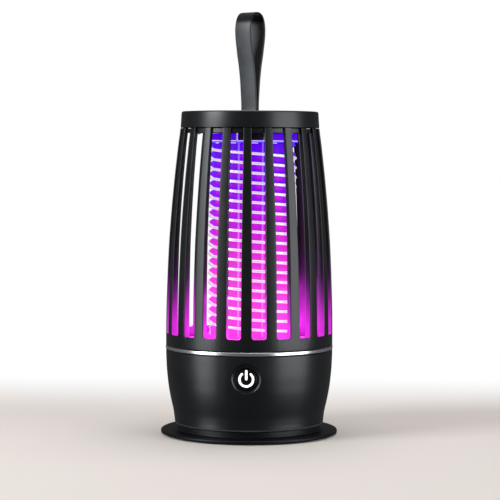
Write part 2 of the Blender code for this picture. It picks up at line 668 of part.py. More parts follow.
def build_cage():
    """Lower band, slats, top plate and bayonet lugs."""
    cage = raw(lathe([
        (50.3, CAGE_Z0), (51.9, CAGE_Z0), (52.43, CAGE_Z0 + 0.5), (52.45, SLOT_Z0 - 0.4),
        (52.05, SLOT_Z0), (49.6, SLOT_Z0), (50.3, 60.0),
    ], CAGE_SIDES, phase=FRONT_PHASE))
    join(cage, together([slat(i) for i in range(SLATS)]))
    join(cage, lathe([
        (12.5, 189.6), (37.6, 189.6), (37.6, 188.7), (42.5, 188.7), (42.3, 191.25),
        (12.5, 191.25),
    ], SLATS * 2, phase=FRONT_PHASE))
    join(cage, lugs(48.6, 51.0, 55.85, 56.8))
    cut(cage, uprights(cap_screw_points, 187, 193, radius=1.3))
    finish(cage, "cage", BLACK, sharp=28)


# ---- top cap ------------------------------------------------------------------------------------
def build_cap():
    """Cap with a round pocket for the strap, screw bosses and pin bore."""
    cap = raw(lathe([
        (43.75, CAP_Z0), (43.2, 200.95), (42.95, 201.75), (42.3, CAP_Z1),
        (POCKET_R + 0.5, CAP_Z1), (POCKET_R, CAP_Z1 - 0.5), (POCKET_R, POCKET_Z),
        (0.0, POCKET_Z), (0.0, 194.1), (11.8, 194.1), (11.8, 199.3), (41.0, 199.3),
        (41.6, CAP_Z0),
    ], SIDES, phase=FRONT_PHASE))
    join(cap, uprights(cap_screw_points, 191.6, 200.4, radius=3.0, sides=14))
    cut(cap, uprights(cap_screw_points, 190.0, 198.6, radius=1.1))
    cut(cap, pin_rod(10.9, PIN_R + 0.06))
    finish(cap, "top_cap", BLACK)
    make_screws("cap_screw", cap_screw_points, [
        (0.0, 188.3), (2.0, 187.9), (2.5, 188.3), (2.5, 189.3), (1.0, 189.3), (1.0, 197.6),
        (0.0, 198.1),
    ], 12)
    make("strap_pin", pin_rod(10.7, PIN_R - 0.02), STEEL)


# ---- strap: soft band folded into a loop, with an eye round the pin -----------------------------
def crown(half_depth, top):
    """Superellipse quarter from the loop's side to its top: (half depth, height)."""
    base = STRAP_SIDE[-1][0]
    power = 2 / 2.4
    angles = [math.radians(90 * k / 8) for k in range(1, 9)]
    return [
        (half_depth * math.cos(a) ** power, base + (top - base) * math.sin(a) ** power)
        for a in angles
    ]


def strap_outer():
    """Outer line of one side, from under the pin's eye to the crown."""
    eye = PIN_R + 0.12 + STRAP_T
    points = [polar(eye, -90 + 132 * k / 8, (0.0, PIN_Z)) for k in range(9)]
    points.append((1.62, 202.6))
    points += [(half, z) for z, half in STRAP_SIDE]
    return points + crown(STRAP_HALF_DEPTH, STRAP_TOP)


def strap_inner():
    """Line of the loop's opening on one side."""
    points = [(0.0, 212.0)]
    points += [(half - STRAP_T * 1.03, z) for z, half in STRAP_SIDE[2:]]
    return points + crown(STRAP_HALF_DEPTH - STRAP_T, STRAP_TOP - STRAP_T)


def strap_prism(side_line, half_width):
    """Mirror a side line that starts and ends on the middle, and extrude it along the pin."""
    outline = side_line + [(-x, z) for x, z in reversed(side_line[1:-1])]
    place = Matrix((
        (-PIN_DIR.y, 0, PIN_DIR.x, 0),
        (PIN_DIR.x, 0, PIN_DIR.y, 0),
        (0, 1, 0, 0),
        (0, 0, 0, 1),
    ))
    return moved(prism(outline, -half_width, half_width), place)


def build_strap():
    strap = raw(strap_prism(strap_outer(), STRAP_W / 2))
    cut(strap, strap_prism(strap_inner(), STRAP_W))
    cut(strap, pin_rod(9, PIN_R + 0.07))
    finish(strap, "carry_strap", STRAP_BLACK, pivot=(0, 0, PIN_Z), sharp=40)


build_foot()
build_housing()
build_trim_ring()
build_button()
build_switch()
build_main_board()
build_battery()
build_charge_port()
build_insect_tray()
build_lamp()
build_grid_frame()
build_grid_wires()
build_grid_top()
build_cage()
build_cap()
build_strap()
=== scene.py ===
"""Looks for the portable electric bug zapper: meshes for the visible pieces, materials, light, camera.

The zapper stands upright on z = 0 with its axis on the z axis and its button on the front (-Y).
From the foot up: round foot, housing, trim ring, slatted cage around a lit grid column, cap, strap.
Pieces are modelled in millimetres and finished in metres; materials, light and camera use metres.
"""
import json
import math

import bmesh
import bpy
from mathutils import Matrix, Vector


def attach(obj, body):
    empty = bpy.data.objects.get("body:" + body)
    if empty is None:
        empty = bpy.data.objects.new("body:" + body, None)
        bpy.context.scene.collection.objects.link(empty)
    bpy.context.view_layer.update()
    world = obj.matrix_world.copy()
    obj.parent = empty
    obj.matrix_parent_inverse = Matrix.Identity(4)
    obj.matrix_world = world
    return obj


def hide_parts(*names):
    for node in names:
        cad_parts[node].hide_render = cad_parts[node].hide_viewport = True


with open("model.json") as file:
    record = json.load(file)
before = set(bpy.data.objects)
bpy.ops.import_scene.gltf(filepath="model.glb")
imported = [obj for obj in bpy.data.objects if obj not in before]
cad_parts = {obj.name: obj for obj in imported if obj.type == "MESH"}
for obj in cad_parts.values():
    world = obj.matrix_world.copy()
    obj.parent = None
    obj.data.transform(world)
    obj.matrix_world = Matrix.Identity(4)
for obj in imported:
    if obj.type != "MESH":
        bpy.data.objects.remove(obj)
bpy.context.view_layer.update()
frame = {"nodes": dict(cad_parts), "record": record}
NODES = frame["nodes"]
SLOT_OF = {part["node"]: part["material_slot"] for part in frame["record"]["subparts"]}
MM = 0.001

# ------------------------------------------------------------------ shared sizes (mm, degrees)
COLUMN = (1.7, 0.07)                    # x, y of the grid column's axis
COLUMN_TURN = 2.3
CAMERA_TURN = 1.95                      # turn of the camera about the upright axis
SCREW_CIRCLE_R = 41.4                   # foot screws
SCREW_ANGLES = LUG_ANGLES = (30.0, 150.0, 270.0)
CAP_SCREW_CIRCLE_R, CAP_SCREW_ANGLES = 34.4, (50.0, 170.0, 290.0)

SLATS, SLAT_DEPTH_LOW, SLAT_DEPTH_TOP = 21, 4.3, 2.5
CAGE_Z0, SLOT_Z0, CAGE_Z1 = 55.7, 63.2, 191.6
SLOT_FILLET = 1.5                       # round where a slat meets the band below the slots
SLAT_WIDTH = [(SLOT_Z0, 6.8), (115.0, 6.3), (CAGE_Z1, 4.85)]    # height, width

BUTTON_Z, BUTTON_R = 39.1, 6.6
PORT_Z = 30.0

WIRE_COIL_R, WIRE_R, WIRE_TOP_Z = 27.1, 0.85, 175.9
WIRE_LEAD = 12.1                        # fall of one wire in a full turn
WIRE_PITCH = WIRE_LEAD / 2.0            # two wires share the lead
WIRE_ROWS = 19
POST_ANGLES = [-160.0 + COLUMN_TURN + 90.0 * k for k in range(4)]
COMB_INNER_R, COMB_NOTCH_R, COMB_TIP_R, COMB_T = 25.0, 25.6, 28.9, 1.8
FRAME_Z0, FRAME_LOW_TOP, FRAME_UP0, FRAME_UP1 = 50.8, 62.4, 182.7, 183.9
LAMP_R, LAMP_WALL, LAMP_Z0, LAMP_Z1 = 24.2, 1.2, 51.2, 182.2

STRAP_TURN = math.radians(-37.0)
STRAP_W, STRAP_T, STRAP_TOP = 12.2, 1.6, 265.0
CROWN_Z, CROWN_HALF = 252.4, 8.0        # where the strap starts to bend over, and its half spread
PIN_Z, PIN_R = 199.2, 1.0
PIN_DIR = Vector((math.cos(STRAP_TURN), math.sin(STRAP_TURN), 0.0))
STRAP_ACROSS = Vector((-PIN_DIR.y, PIN_DIR.x, 0.0))     # the way the strap's two legs spread

# height, outer radius of the barrel-shaped body
BODY = [
    (7.0, 46.55), (9.8, 46.95), (14.8, 47.7), (19.9, 48.9), (25.0, 49.95), (30.0, 50.8),
    (35.1, 51.4), (40.1, 51.9), (45.2, 52.2), (50.2, 52.4), (55.3, 52.45), (63.0, 52.45),
    (70.0, 52.42), (80.5, 52.25), (90.7, 51.95), (100.8, 51.62), (110.9, 51.2), (121.0, 50.7),
    (131.1, 50.0), (141.2, 49.25), (151.3, 48.35), (161.4, 47.4), (171.5, 46.3), (181.6, 45.15),
    (191.7, 43.85), (202.2, 43.1),
]

# height, distance of the strap's outer face from its middle plane
STRAP_SIDE = [
    (202.6, 1.65), (206.9, 1.68), (210.7, 1.95), (214.5, 2.25), (218.3, 2.6), (222.0, 2.95),
    (225.8, 3.5), (229.6, 4.1), (233.4, 4.85), (237.2, 5.75), (241.0, 6.4), (244.8, 7.1),
    (248.6, 7.7), (CROWN_Z, CROWN_HALF),
]


def hermite(table, at):
    """Smooth value through a table of (position, value)."""
    if at <= table[0][0]:
        return table[0][1]
    if at >= table[-1][0]:
        return table[-1][1]
    i = max(k for k in range(len(table) - 1) if table[k][0] <= at)

    def slope(k):
        before, after = table[max(k - 1, 0)], table[min(k + 1, len(table) - 1)]
        return (after[1] - before[1]) / (after[0] - before[0])

    (x0, y0), (x1, y1) = table[i], table[i + 1]
    h = x1 - x0
    s = (at - x0) / h
    return ((2 * s ** 3 - 3 * s * s + 1) * y0 + (s ** 3 - 2 * s * s + s) * h * slope(i)
            + (-2 * s ** 3 + 3 * s * s) * y1 + (s ** 3 - s * s) * h * slope(i + 1))


def body_r(z):
    return hermite(BODY, z)


def wire_height(deg, row):
    """Height of a wire row's centre at this angle round the column."""
    return WIRE_TOP_Z - WIRE_LEAD * (deg - COLUMN_TURN + 90.0) / 360.0 - row * WIRE_PITCH


# ------------------------------------------------------------------ material builder
LOOKS = {}      # every material by its name


class Look:
    """A node material under construction."""

    def __init__(self, name):
        self.name = name
        self.material = bpy.data.materials.new(name)
        self.material.use_nodes = True
        self.tree = self.material.node_tree
        self.tree.nodes.clear()
        self.output = self.tree.nodes.new("ShaderNodeOutputMaterial")

    def node(self, kind, props=None, **inputs):
        """New node; an input's underscores stand for the spaces in its socket's name."""
        node = self.tree.nodes.new(kind)
        for key, value in (props or {}).items():
            setattr(node, key, value)
        for key, value in inputs.items():
            self.put(node, key.replace("_", " "), value)
        return node

    def put(self, node, key, value):
        """Link or set the input with this name or index."""
        socket = node.inputs[key]
        if isinstance(value, bpy.types.NodeSocket):
            self.tree.links.new(value, socket)
        elif isinstance(value, tuple) and len(value) == 3 and socket.type == "RGBA":
            socket.default_value = (*value, 1.0)
        else:
            socket.default_value = value

    def math(self, operation, a, b=0.0, clamp=False):
        node = self.node("ShaderNodeMath", {"operation": operation, "use_clamp": clamp})
        self.put(node, 0, a)
        self.put(node, 1, b)
        return node.outputs[0]

    def product(self, first, *others):
        for other in others:
            first = self.math("MULTIPLY", first, other)
        return first

    def linear(self, value, gain, offset):
        return self.math("ADD", self.product(value, gain), offset)

    def vary(self, value, amount, around):
        """Spread a noise value, whose middle is 0.5, around another value."""
        return self.linear(self.math("SUBTRACT", value, 0.5), amount, around)

    def vector_math(self, operation, a, b=None):
        node = self.node("ShaderNodeVectorMath", {"operation": operation})
        self.put(node, 0, a)
        if b is not None:
            self.put(node, 1, b)
        return node.outputs["Value" if operation == "DOT_PRODUCT" else 0]

    def span(self, value, start, end, low=0.0, high=1.0):
        """Smooth step from low at start to high at end."""
        return self.node("ShaderNodeMapRange", {"interpolation_type": "SMOOTHSTEP"}, Value=value,
                         From_Min=start, From_Max=end, To_Min=low, To_Max=high).outputs["Result"]

    def ramp(self, value, stops):
        node = self.node("ShaderNodeValToRGB")
        elements = node.color_ramp.elements
        while len(elements) < len(stops):
            elements.new(0.5)
        for element, (position, colour) in zip(elements, stops):
            element.position = position
            element.color = (*colour, 1.0)
        self.put(node, "Fac", value)
        return node.outputs["Color"]

    def blend(self, share, first, second):
        node = self.node("ShaderNodeMix", {"data_type": "RGBA"})
        for index, value in ((0, share), (6, first), (7, second)):
            self.put(node, index, value)
        return node.outputs[2]

    def coords(self, kind="Object"):
        return self.node("ShaderNodeTexCoord").outputs[kind]

    def axes(self):
        return self.node("ShaderNodeSeparateXYZ", Vector=self.coords()).outputs

    def height(self):
        """Height of the shaded point, in metres."""
        return self.axes()["Z"]

    def noise(self, scale, detail=3.0, rough=0.5, vector=None, stretch=None):
        vector = vector or self.coords()
        if stretch:
            vector = self.node("ShaderNodeMapping", Vector=vector, Scale=stretch).outputs[0]
        return self.node("ShaderNodeTexNoise", Vector=vector, Scale=scale, Detail=detail,
                         Roughness=rough).outputs["Fac"]

    def bump(self, value, strength, distance=0.00004):
        return self.node("ShaderNodeBump", Height=value, Strength=strength,
                         Distance=distance).outputs["Normal"]

    def surface(self, **inputs):
        return self.node("ShaderNodeBsdfPrincipled", **inputs)

    def emit(self, shader, emission):
        """Give the shader an emission of (colour, strength), if there is one."""
        if emission:
            self.put(shader, "Emission Color", emission[0])
            self.put(shader, "Emission Strength", emission[1])

    def done(self, shader):
        self.tree.links.new(shader.outputs[0], self.output.inputs["Surface"])
        LOOKS[self.name] = self.material


# ------------------------------------------------------------------ the lit column's colour
LAMP_FOOT, LAMP_RISE = 0.056, 0.132     # height span of the colour run (m)
LAMP_STOPS = [                          # share of the rise, colour
    (0.0, (0.88, 0.045, 0.66)), (0.09, (0.88, 0.055, 0.68)), (0.3, (0.84, 0.065, 0.64)),
    (0.45, (0.70, 0.03, 0.62)), (0.58, (0.44, 0.008, 0.66)), (0.72, (0.21, 0.0, 0.78)),
    (0.86, (0.13, 0.0, 0.80)), (1.0, (0.075, 0.0, 0.76)),
]


def height_share(t, height, foot, rise):
    return t.math("DIVIDE", t.math("SUBTRACT", height, foot), rise, clamp=True)


def lamp_colour(t):
    return t.ramp(height_share(t, t.height(), LAMP_FOOT, LAMP_RISE), LAMP_STOPS)


def lamp_texture(t):
    """The colour run with a magenta band at every wire row, painted reflection of the wires, and faint
    upright streaks.
    """
    axes = t.axes()
    dx = t.math("SUBTRACT", axes["X"], COLUMN[0] * MM)
    dy = t.math("SUBTRACT", axes["Y"], COLUMN[1] * MM)
    turn = t.math("ARCTAN2", dx, t.product(dy, -1.0))       # 0 at the front, grows to the right
    row = t.math("ADD", t.math("DIVIDE", axes["Z"], WIRE_PITCH * MM),
                 t.product(turn, 1.0 / math.pi))
    phase = t.math("FRACT", t.math("SUBTRACT", row, WIRE_TOP_Z / WIRE_PITCH % 1.0))
    # band: a painted reflection of the wires, magenta along each wire row
    band = t.product(t.span(phase, start=0.30, end=0.62), t.span(phase, start=1.0, end=0.80))
    # turn and height are scaled so that the noise draws out into upright streaks
    across, upright = 2.6, 9.0
    place = t.node("ShaderNodeCombineXYZ", X=t.product(turn, across), Y=0.3,
                   Z=t.product(axes["Z"], upright)).outputs[0]
    streak = t.noise(scale=1.0, detail=2.0, rough=0.6, vector=place)
    base = lamp_colour(t)
    up = height_share(t, axes["Z"], LAMP_FOOT, LAMP_RISE)
    middle = t.product(t.span(up, start=0.97, end=0.80), t.span(up, start=0.10, end=0.35))
    amount = t.product(band, middle, t.span(streak, start=0.38, end=0.66, low=0.15, high=0.8))
    magenta = (0.80, 0.02, 0.62)
    return t.blend(amount, base, magenta), streak


# ------------------------------------------------------------------ materials
SATIN_BLACK = (0.0042, 0.0043, 0.0047)
PAINTED_LIGHT_FOOT, PAINTED_LIGHT_RISE = 0.050, 0.08      # height span of the painted lamp light on the black plastic (m)
PAINTED_LIGHT_FALL = [                           # share of the rise, brightness
    (position, (level,) * 3)
    for position, level in ((0.0, 0.9), (0.26, 0.78), (0.44, 0.30), (0.62, 0.05), (0.85, 0.0))
]
PAINTED_LIGHT_TINT = [                           # share of the rise, colour
    (0.0, (0.85, 0.02, 0.85)), (0.4, (0.85, 0.03, 0.9)),
    (0.7, (0.35, 0.01, 0.6)), (1.0, (0.1, 0.0, 0.3)),
]


def painted_lamp_light(t, strength):
    """Painted lamp light: emission on the sides facing the lamp, strongest low down and gone higher
    up.
    """
    geometry = t.node("ShaderNodeNewGeometry").outputs
    level = t.vector_math("MULTIPLY", geometry["Position"], (1, 1, 0))
    outward = t.vector_math("NORMALIZE", level)
    facing_out = t.vector_math("DOT_PRODUCT", geometry["True Normal"], outward)
    inward = t.span(facing_out, start=0.55, end=0.05)
    height = t.height()
    inward = t.product(inward, t.span(height, start=0.0575, end=0.0595))
    fall = t.ramp(height_share(t, height, PAINTED_LIGHT_FOOT, PAINTED_LIGHT_RISE), PAINTED_LIGHT_FALL)
    tint = t.ramp(height_share(t, height, PAINTED_LIGHT_FOOT, PAINTED_LIGHT_RISE), PAINTED_LIGHT_TINT)
    return tint, t.product(inward, fall, strength)


def plastic(name, base, rough, grain=0.10, glow=None, specular=0.5):
    """Satin moulded plastic: fine grain, slightly cloudy in colour and gloss."""
    t = Look(name)
    cloud = t.noise(scale=70.0, detail=4.0, rough=0.55)
    fine = t.noise(scale=2300.0, rough=0.6)
    darker, lighter = 0.82, 1.2
    colour = t.ramp(cloud, [(0.3, tuple(c * darker for c in base)),
                            (0.72, tuple(min(c * lighter, 1) for c in base))])
    roughness = t.vary(cloud, amount=0.10, around=t.vary(fine, amount=0.08, around=rough))
    shader = t.surface(Base_Color=colour, Roughness=roughness, Normal=t.bump(fine, grain),
                       Specular_IOR_Level=specular)
    # glow paints the lamp's light on the sides that face it, as emission
    if glow:
        t.emit(shader, painted_lamp_light(t, glow))
    t.done(shader)


def metal(name, base, rough, brush=(1, 1, 40), scale=900.0, emission=None):
    """Brushed metal with a slight tarnish; brush stretches the noise along an axis."""
    t = Look(name)
    lines = t.noise(scale=scale, detail=2.0, stretch=brush)
    cloud = t.noise(scale=60.0)
    tarnish = 0.08
    colour = t.ramp(cloud, [(0.25, tuple(c * (1 - tarnish) for c in base)), (0.75, base)])
    shader = t.surface(Base_Color=colour, Metallic=1.0,
                       Roughness=t.vary(lines, amount=0.12, around=rough),
                       Normal=t.bump(lines, strength=0.04, distance=0.00003))
    t.emit(shader, emission)
    t.done(shader)


def clouded(name, dark, pale, rough, scale, bump, emission=None):
    """Plain material that drifts between two colours, with a fine surface."""
    t = Look(name)
    cloud = t.noise(scale=scale, detail=4.0)
    fine = t.noise(scale=scale * 14, detail=2.0)
    shader = t.surface(Base_Color=t.blend(cloud, dark, pale),
                       Roughness=t.vary(fine, amount=0.12, around=rough),
                       Normal=t.bump(fine, bump, distance=0.00005))
    t.emit(shader, emission)
    t.done(shader)


def lamp_diffuser_look():
    """Frosted tube lit from inside, softly mottled."""
    t = Look("lamp_diffuser_violet")
    colour, cloud = lamp_texture(t)
    fine = t.noise(scale=1500.0, detail=2.0)
    strength = t.product(t.linear(cloud, gain=0.5, offset=0.74), 1.0)
    near_black = (0.02, 0.0, 0.05)
    t.done(t.surface(Base_Color=t.blend(0.93, colour, near_black),
                     Roughness=t.linear(fine, gain=0.1, offset=0.5),
                     Emission_Color=colour, Emission_Strength=strength,
                     Normal=t.bump(fine, strength=0.08), Specular_IOR_Level=0.12))


def feed_rod_look():
    """Dull steel close to the lit tube, its base colour and emission mostly the tube's colour: painted
    lamp light.
    """
    t = Look("feed_rod_steel")
    colour = lamp_colour(t)
    lines = t.noise(scale=1200.0, detail=2.0, stretch=(1, 1, 12))
    steel, rod_painted_highlight = (0.55, 0.45, 0.65), (0.9, 0.8, 1.0)
    # the tube's colour in base colour and emission is painted lamp light, with a pale painted
    # highlight
    t.done(t.surface(Base_Color=t.blend(0.75, steel, colour), Metallic=0.6,
                     Roughness=t.vary(lines, amount=0.12, around=0.5),
                     Emission_Color=t.blend(0.10, colour, rod_painted_highlight), Emission_Strength=0.9,
                     Normal=t.bump(lines, strength=0.04, distance=0.00003),
                     Specular_IOR_Level=0.15))


def comb_side_look():
    """Broad sides of the clear combs, glowing with painted lamp light."""
    t = Look("clear_comb_plastic")
    colour = lamp_colour(t)
    cloud = t.noise(scale=400.0)
    dark_violet = (0.1, 0.03, 0.2)
    # the lamp's colour in base colour and emission is painted lamp light
    t.done(t.surface(Base_Color=t.blend(0.8, colour, dark_violet), Roughness=0.3,
                     Emission_Color=colour, Specular_IOR_Level=0.25,
                     Emission_Strength=t.linear(cloud, gain=0.5, offset=0.6)))


def comb_edge(name, white, strength, line_from=None):
    """Moulded edge, paler than the broad sides with painted lamp light; line_from keeps the painted
    pale highlight line above a height.
    """
    t = Look(name)
    base = lamp_colour(t)
    amount = white
    if line_from is not None:
        amount = t.product(t.span(t.height(), start=line_from, end=line_from + 0.0002), white)
    painted_edge_highlight, pale_base = (0.95, 0.80, 1.0), (0.8, 0.75, 0.9)
    # the pale line is a painted highlight; the emission is painted lamp light
    colour = t.blend(amount, base, painted_edge_highlight)
    cloud = t.noise(scale=500.0)
    brightness = t.product(t.linear(cloud, gain=0.5, offset=0.75), strength)
    t.done(t.surface(Base_Color=t.blend(0.7, pale_base, base), Roughness=0.25,
                     Emission_Color=colour, Emission_Strength=brightness,
                     Specular_IOR_Level=0.35))


def strap_look():
    """Soft band with a pressed grain, painted shade darkening the bend at the crown, and a duller
    inside paled by painted light.
    """
    t = Look("strap_soft_black")
    cloud = t.noise(scale=110.0, detail=4.0, rough=0.6)
    pores = t.node("ShaderNodeTexVoronoi", Vector=t.coords(), Scale=1700.0).outputs["Distance"]
    colour = t.ramp(cloud, [(0.28, (0.022, 0.024, 0.028)), (0.75, (0.042, 0.045, 0.052))])
    # the side of the loop a point is on, against the way it faces, tells inside from outside
    side, facing = [t.vector_math("DOT_PRODUCT", t.coords(kind), tuple(STRAP_ACROSS))
                    for kind in ("Object", "Normal")]
    inside = t.span(t.product(side, facing), start=-0.0004, end=-0.0012)
    crown = t.span(t.height(), start=0.2572, end=0.2598)
    # the crown's near-black is painted shade; the paler grey inside is painted light lifting its shade
    painted_inside_light, painted_crown_shade = (0.090, 0.086, 0.087), (0.002, 0.002, 0.0025)
    colour = t.blend(inside, colour, painted_inside_light)
    colour = t.blend(t.product(crown, 0.88), colour, painted_crown_shade)
    roughness = t.vary(cloud, amount=0.15, around=t.linear(inside, gain=0.2, offset=0.42))
    inside_dulling, crown_dulling = 0.25, 0.85
    specular = t.product(t.math("SUBTRACT", 0.5, t.product(inside, inside_dulling)),
                         t.math("SUBTRACT", 1.0, t.product(crown, crown_dulling)))
    t.done(t.surface(Base_Color=colour, Roughness=roughness,
                     Normal=t.bump(pores, strength=0.16), Specular_IOR_Level=specular,
                     Sheen_Weight=0.12, Sheen_Roughness=0.5))


# name, dark colour, pale colour, roughness, cloud scale, bump strength, (emission)
CLOUDED = [
    ("black_rubber", (0.018, 0.018, 0.018), (0.03, 0.03, 0.03), 0.82, 200.0, 0.3),
    ("symbol_light_guide", (0.9, 0.93, 1.0), (1.0, 1.0, 1.0), 0.4, 300.0, 0.05,
     ((0.95, 0.98, 1.0), 1.0)),
    ("light_pipe_clear", (0.62, 0.64, 0.66), (0.74, 0.76, 0.78), 0.22, 300.0, 0.04),
    # the tray's magenta emission is painted lamp light
    ("tray_plastic", (0.36, 0.34, 0.40), (0.45, 0.42, 0.48), 0.3, 90.0, 0.05,
     ((1.0, 0.03, 0.80), 0.55)),
    ("board_green", (0.02, 0.16, 0.07), (0.04, 0.24, 0.11), 0.4, 400.0, 0.1),
    ("board_white", (0.78, 0.79, 0.8), (0.88, 0.88, 0.88), 0.45, 400.0, 0.05),
    ("cell_sleeve_blue", (0.04, 0.13, 0.4), (0.06, 0.18, 0.5), 0.28, 60.0, 0.05),
    ("capacitor_resin", (0.3, 0.09, 0.035), (0.4, 0.13, 0.05), 0.3, 90.0, 0.1),
    ("transformer_ferrite", (0.06, 0.057, 0.055), (0.1, 0.095, 0.09), 0.6, 200.0, 0.3),
    ("led_phosphor", (0.65, 0.55, 0.9), (0.8, 0.75, 0.95), 0.35, 600.0, 0.05,
     ((0.35, 0.03, 1.0), 3.0)),
    ("lead_red", (0.5, 0.03, 0.02), (0.65, 0.05, 0.04), 0.45, 200.0, 0.1),
    ("lead_black", (0.015, 0.015, 0.017), (0.03, 0.03, 0.032), 0.45, 200.0, 0.1),
]


def make_materials():
    plastic("satin_black_plastic", SATIN_BLACK, rough=0.34)
    # the cage and the housing carry painted lamp light on their inner sides
    plastic("satin_black_cage", SATIN_BLACK, rough=0.34, glow=1.0)
    plastic("satin_black_housing", SATIN_BLACK, rough=0.34, glow=0.8)
    # paler black on the housing's lower rim: a painted highlight line along its bottom edge
    plastic("painted_rim_highlight", (0.05, 0.051, 0.054), rough=0.22, grain=0.03, specular=0.9)
    plastic("satin_black_foot", (0.0030, 0.0031, 0.0038), rough=0.42, grain=0.05, specular=0.22)
    plastic("satin_black_button", (0.0026, 0.0027, 0.003), rough=0.24, grain=0.04)
    metal("bright_trim", (0.95, 0.96, 0.98), rough=0.24, brush=(1, 1, 30), scale=1400.0)
    metal("screw_steel", (0.56, 0.57, 0.59), rough=0.33, brush=(1, 1, 1), scale=1800.0)
    # the wires' pale emission is a painted highlight and painted lamp light on the steel
    metal("grid_steel_wire", (0.93, 0.91, 0.95), rough=0.22, brush=(1, 1, 12), scale=1600.0,
          emission=((0.97, 0.86, 1.0), 0.62))
    # the brass's faint violet emission is painted lamp light
    metal("terminal_brass", (0.75, 0.70, 0.72), rough=0.3, emission=((0.55, 0.45, 0.7), 0.10))
    metal("core_aluminium", (0.72, 0.73, 0.75), rough=0.38, brush=(30, 30, 1))
    feed_rod_look()
    lamp_diffuser_look()
    comb_side_look()
    comb_edge("clear_comb_edge", white=0.22, strength=0.9)
    comb_edge("clear_comb_tooth_edge", white=0.5, strength=0.8)
    comb_edge("clear_comb_hoop", white=0.75, strength=0.95, line_from=0.18335)
    strap_look()
    for row in CLOUDED:
        clouded(*row)


def dress_cad_pieces():
    """Give every CAD piece its slot's material; CAD steel grid parts take the feed rods' look."""
    by_slot = {**LOOKS, "grid_steel_wire": LOOKS["feed_rod_steel"]}
    for name, piece in NODES.items():
        look = LOOKS["light_pipe_clear"] if name == "charge_light_pipe" else by_slot[SLOT_OF[name]]
        piece.data.materials.clear()
        piece.data.materials.append(look)
        piece.data.shade_smooth()
        piece.data.set_sharp_from_angle(angle=math.radians(32))


# ------------------------------------------------------------------ shapes: (vertices, faces) in mm
def lathe(profile, angles, cx=0.0, cy=0.0):
    """Turned body from a closed loop of (radius, z); angles is a count or a list of degrees."""
    if isinstance(angles, int):
        angles = [360.0 * k / angles for k in range(angles)]
    circle = [(math.cos(math.radians(a)), math.sin(math.radians(a))) for a in angles]
    count = len(circle)
    verts, faces, rows = [], [], []
    for r, z in profile:
        if r < 1e-9:
            rows.append([len(verts)])
            verts.append((cx, cy, z))
        else:
            rows.append(list(range(len(verts), len(verts) + count)))
            verts += [(cx + r * c, cy + r * s, z) for c, s in circle]
    for i, low in enumerate(rows):
        high = rows[(i + 1) % len(rows)]
        if len(low) == 1 and len(high) == 1:
            continue
        for k in range(count):
            m = (k + 1) % count
            if len(low) == 1:
                faces.append((low[0], high[k], high[m]))
            elif len(high) == 1:
                faces.append((low[k], low[m], high[0]))
            else:
                faces.append((low[k], low[m], high[m], high[k]))
    return verts, faces


def rounded(corners, steps=5):
    """Closed loop of points from rows of (x, y, corner radius)."""
    out = []
    points = [(x, y) for x, y, _ in corners]
    for i, (x, y, radius) in enumerate(corners):
        if radius <= 0:
            out.append((x, y))
            continue
        corner = Vector((x, y))
        back = Vector(points[i - 1]) - corner
        ahead = Vector(points[(i + 1) % len(points)]) - corner
        longest = min(back.length * 0.49, ahead.length * 0.49)
        back.normalize()
        ahead.normalize()
        angle = math.acos(max(-1.0, min(1.0, back.dot(ahead))))
        if angle > math.pi - 0.02:
            out.append(tuple(corner))
            continue
        reach = min(radius / math.tan(angle / 2), longest)
        fitted = reach * math.tan(angle / 2)
        centre = corner + (back + ahead).normalized() * (fitted / math.sin(angle / 2))
        start, end = corner + back * reach - centre, corner + ahead * reach - centre
        first, last = math.atan2(start.y, start.x), math.atan2(end.y, end.x)
        sweep = (last - first + math.pi) % (2 * math.pi) - math.pi
        for k in range(steps + 1):
            a = first + sweep * k / steps
            out.append((centre.x + fitted * math.cos(a), centre.y + fitted * math.sin(a)))
    return out


def prism(outline, z0, z1):
    n = len(outline)
    verts = [(x, y, z0) for x, y in outline] + [(x, y, z1) for x, y in outline]
    sides = [(i, (i + 1) % n, n + (i + 1) % n, n + i) for i in range(n)]
    return verts, [tuple(range(n)), tuple(range(n, 2 * n))] + sides


def loft(rings, closed=False):
    """Skin over rings of equal count, joined end to start if closed and capped if not."""
    n, m = len(rings[0]), len(rings)
    verts = [p for ring in rings for p in ring]
    faces = []
    for i in range(m if closed else m - 1):
        j = (i + 1) % m
        for k in range(n):
            q = (k + 1) % n
            faces.append((i * n + k, i * n + q, j * n + q, j * n + k))
    if not closed:
        faces += [tuple(range(n)), tuple(range((m - 1) * n, m * n))]
    return verts, faces


def moved(shape, matrix):
    return [tuple(matrix @ Vector(v)) for v in shape[0]], shape[1]


def together(shapes):
    verts, faces = [], []
    for shape_verts, shape_faces in shapes:
        start = len(verts)
        verts += list(shape_verts)
        faces += [tuple(i + start for i in face) for face in shape_faces]
    return verts, faces


def polar(r, deg, cx=0.0, cy=0.0):
    a = math.radians(deg)
    return cx + r * math.cos(a), cy + r * math.sin(a)


def turned_z(deg):
    return Matrix.Rotation(math.radians(deg), 4, "Z")


def rod(start, end, radius, segments=32):
    start = Vector(start)
    along = Vector(end) - start
    turn = along.to_track_quat("Z", "Y").to_matrix().to_4x4()
    angles = [2 * math.pi * k / segments for k in range(segments)]
    circle = [(radius * math.cos(a), radius * math.sin(a)) for a in angles]
    return moved(prism(circle, 0.0, along.length), Matrix.Translation(start) @ turn)


def uprights(circle_r, angles, z, radius, segments, centre=(0.0, 0.0)):
    """Upright rods round a circle, from z[0] to z[1]."""
    places = [polar(circle_r, a, *centre) for a in angles]
    return [rod((*place, z[0]), (*place, z[1]), radius, segments) for place in places]


def round_rect(w, h, r, n=8):
    corners = ((w / 2 - r, h / 2 - r, 0), (-w / 2 + r, h / 2 - r, 90),
               (-w / 2 + r, -h / 2 + r, 180), (w / 2 - r, -h / 2 + r, 270))
    return [polar(r, start + 90 * k / n, cx, cy) for cx, cy, start in corners
            for k in range(n + 1)]


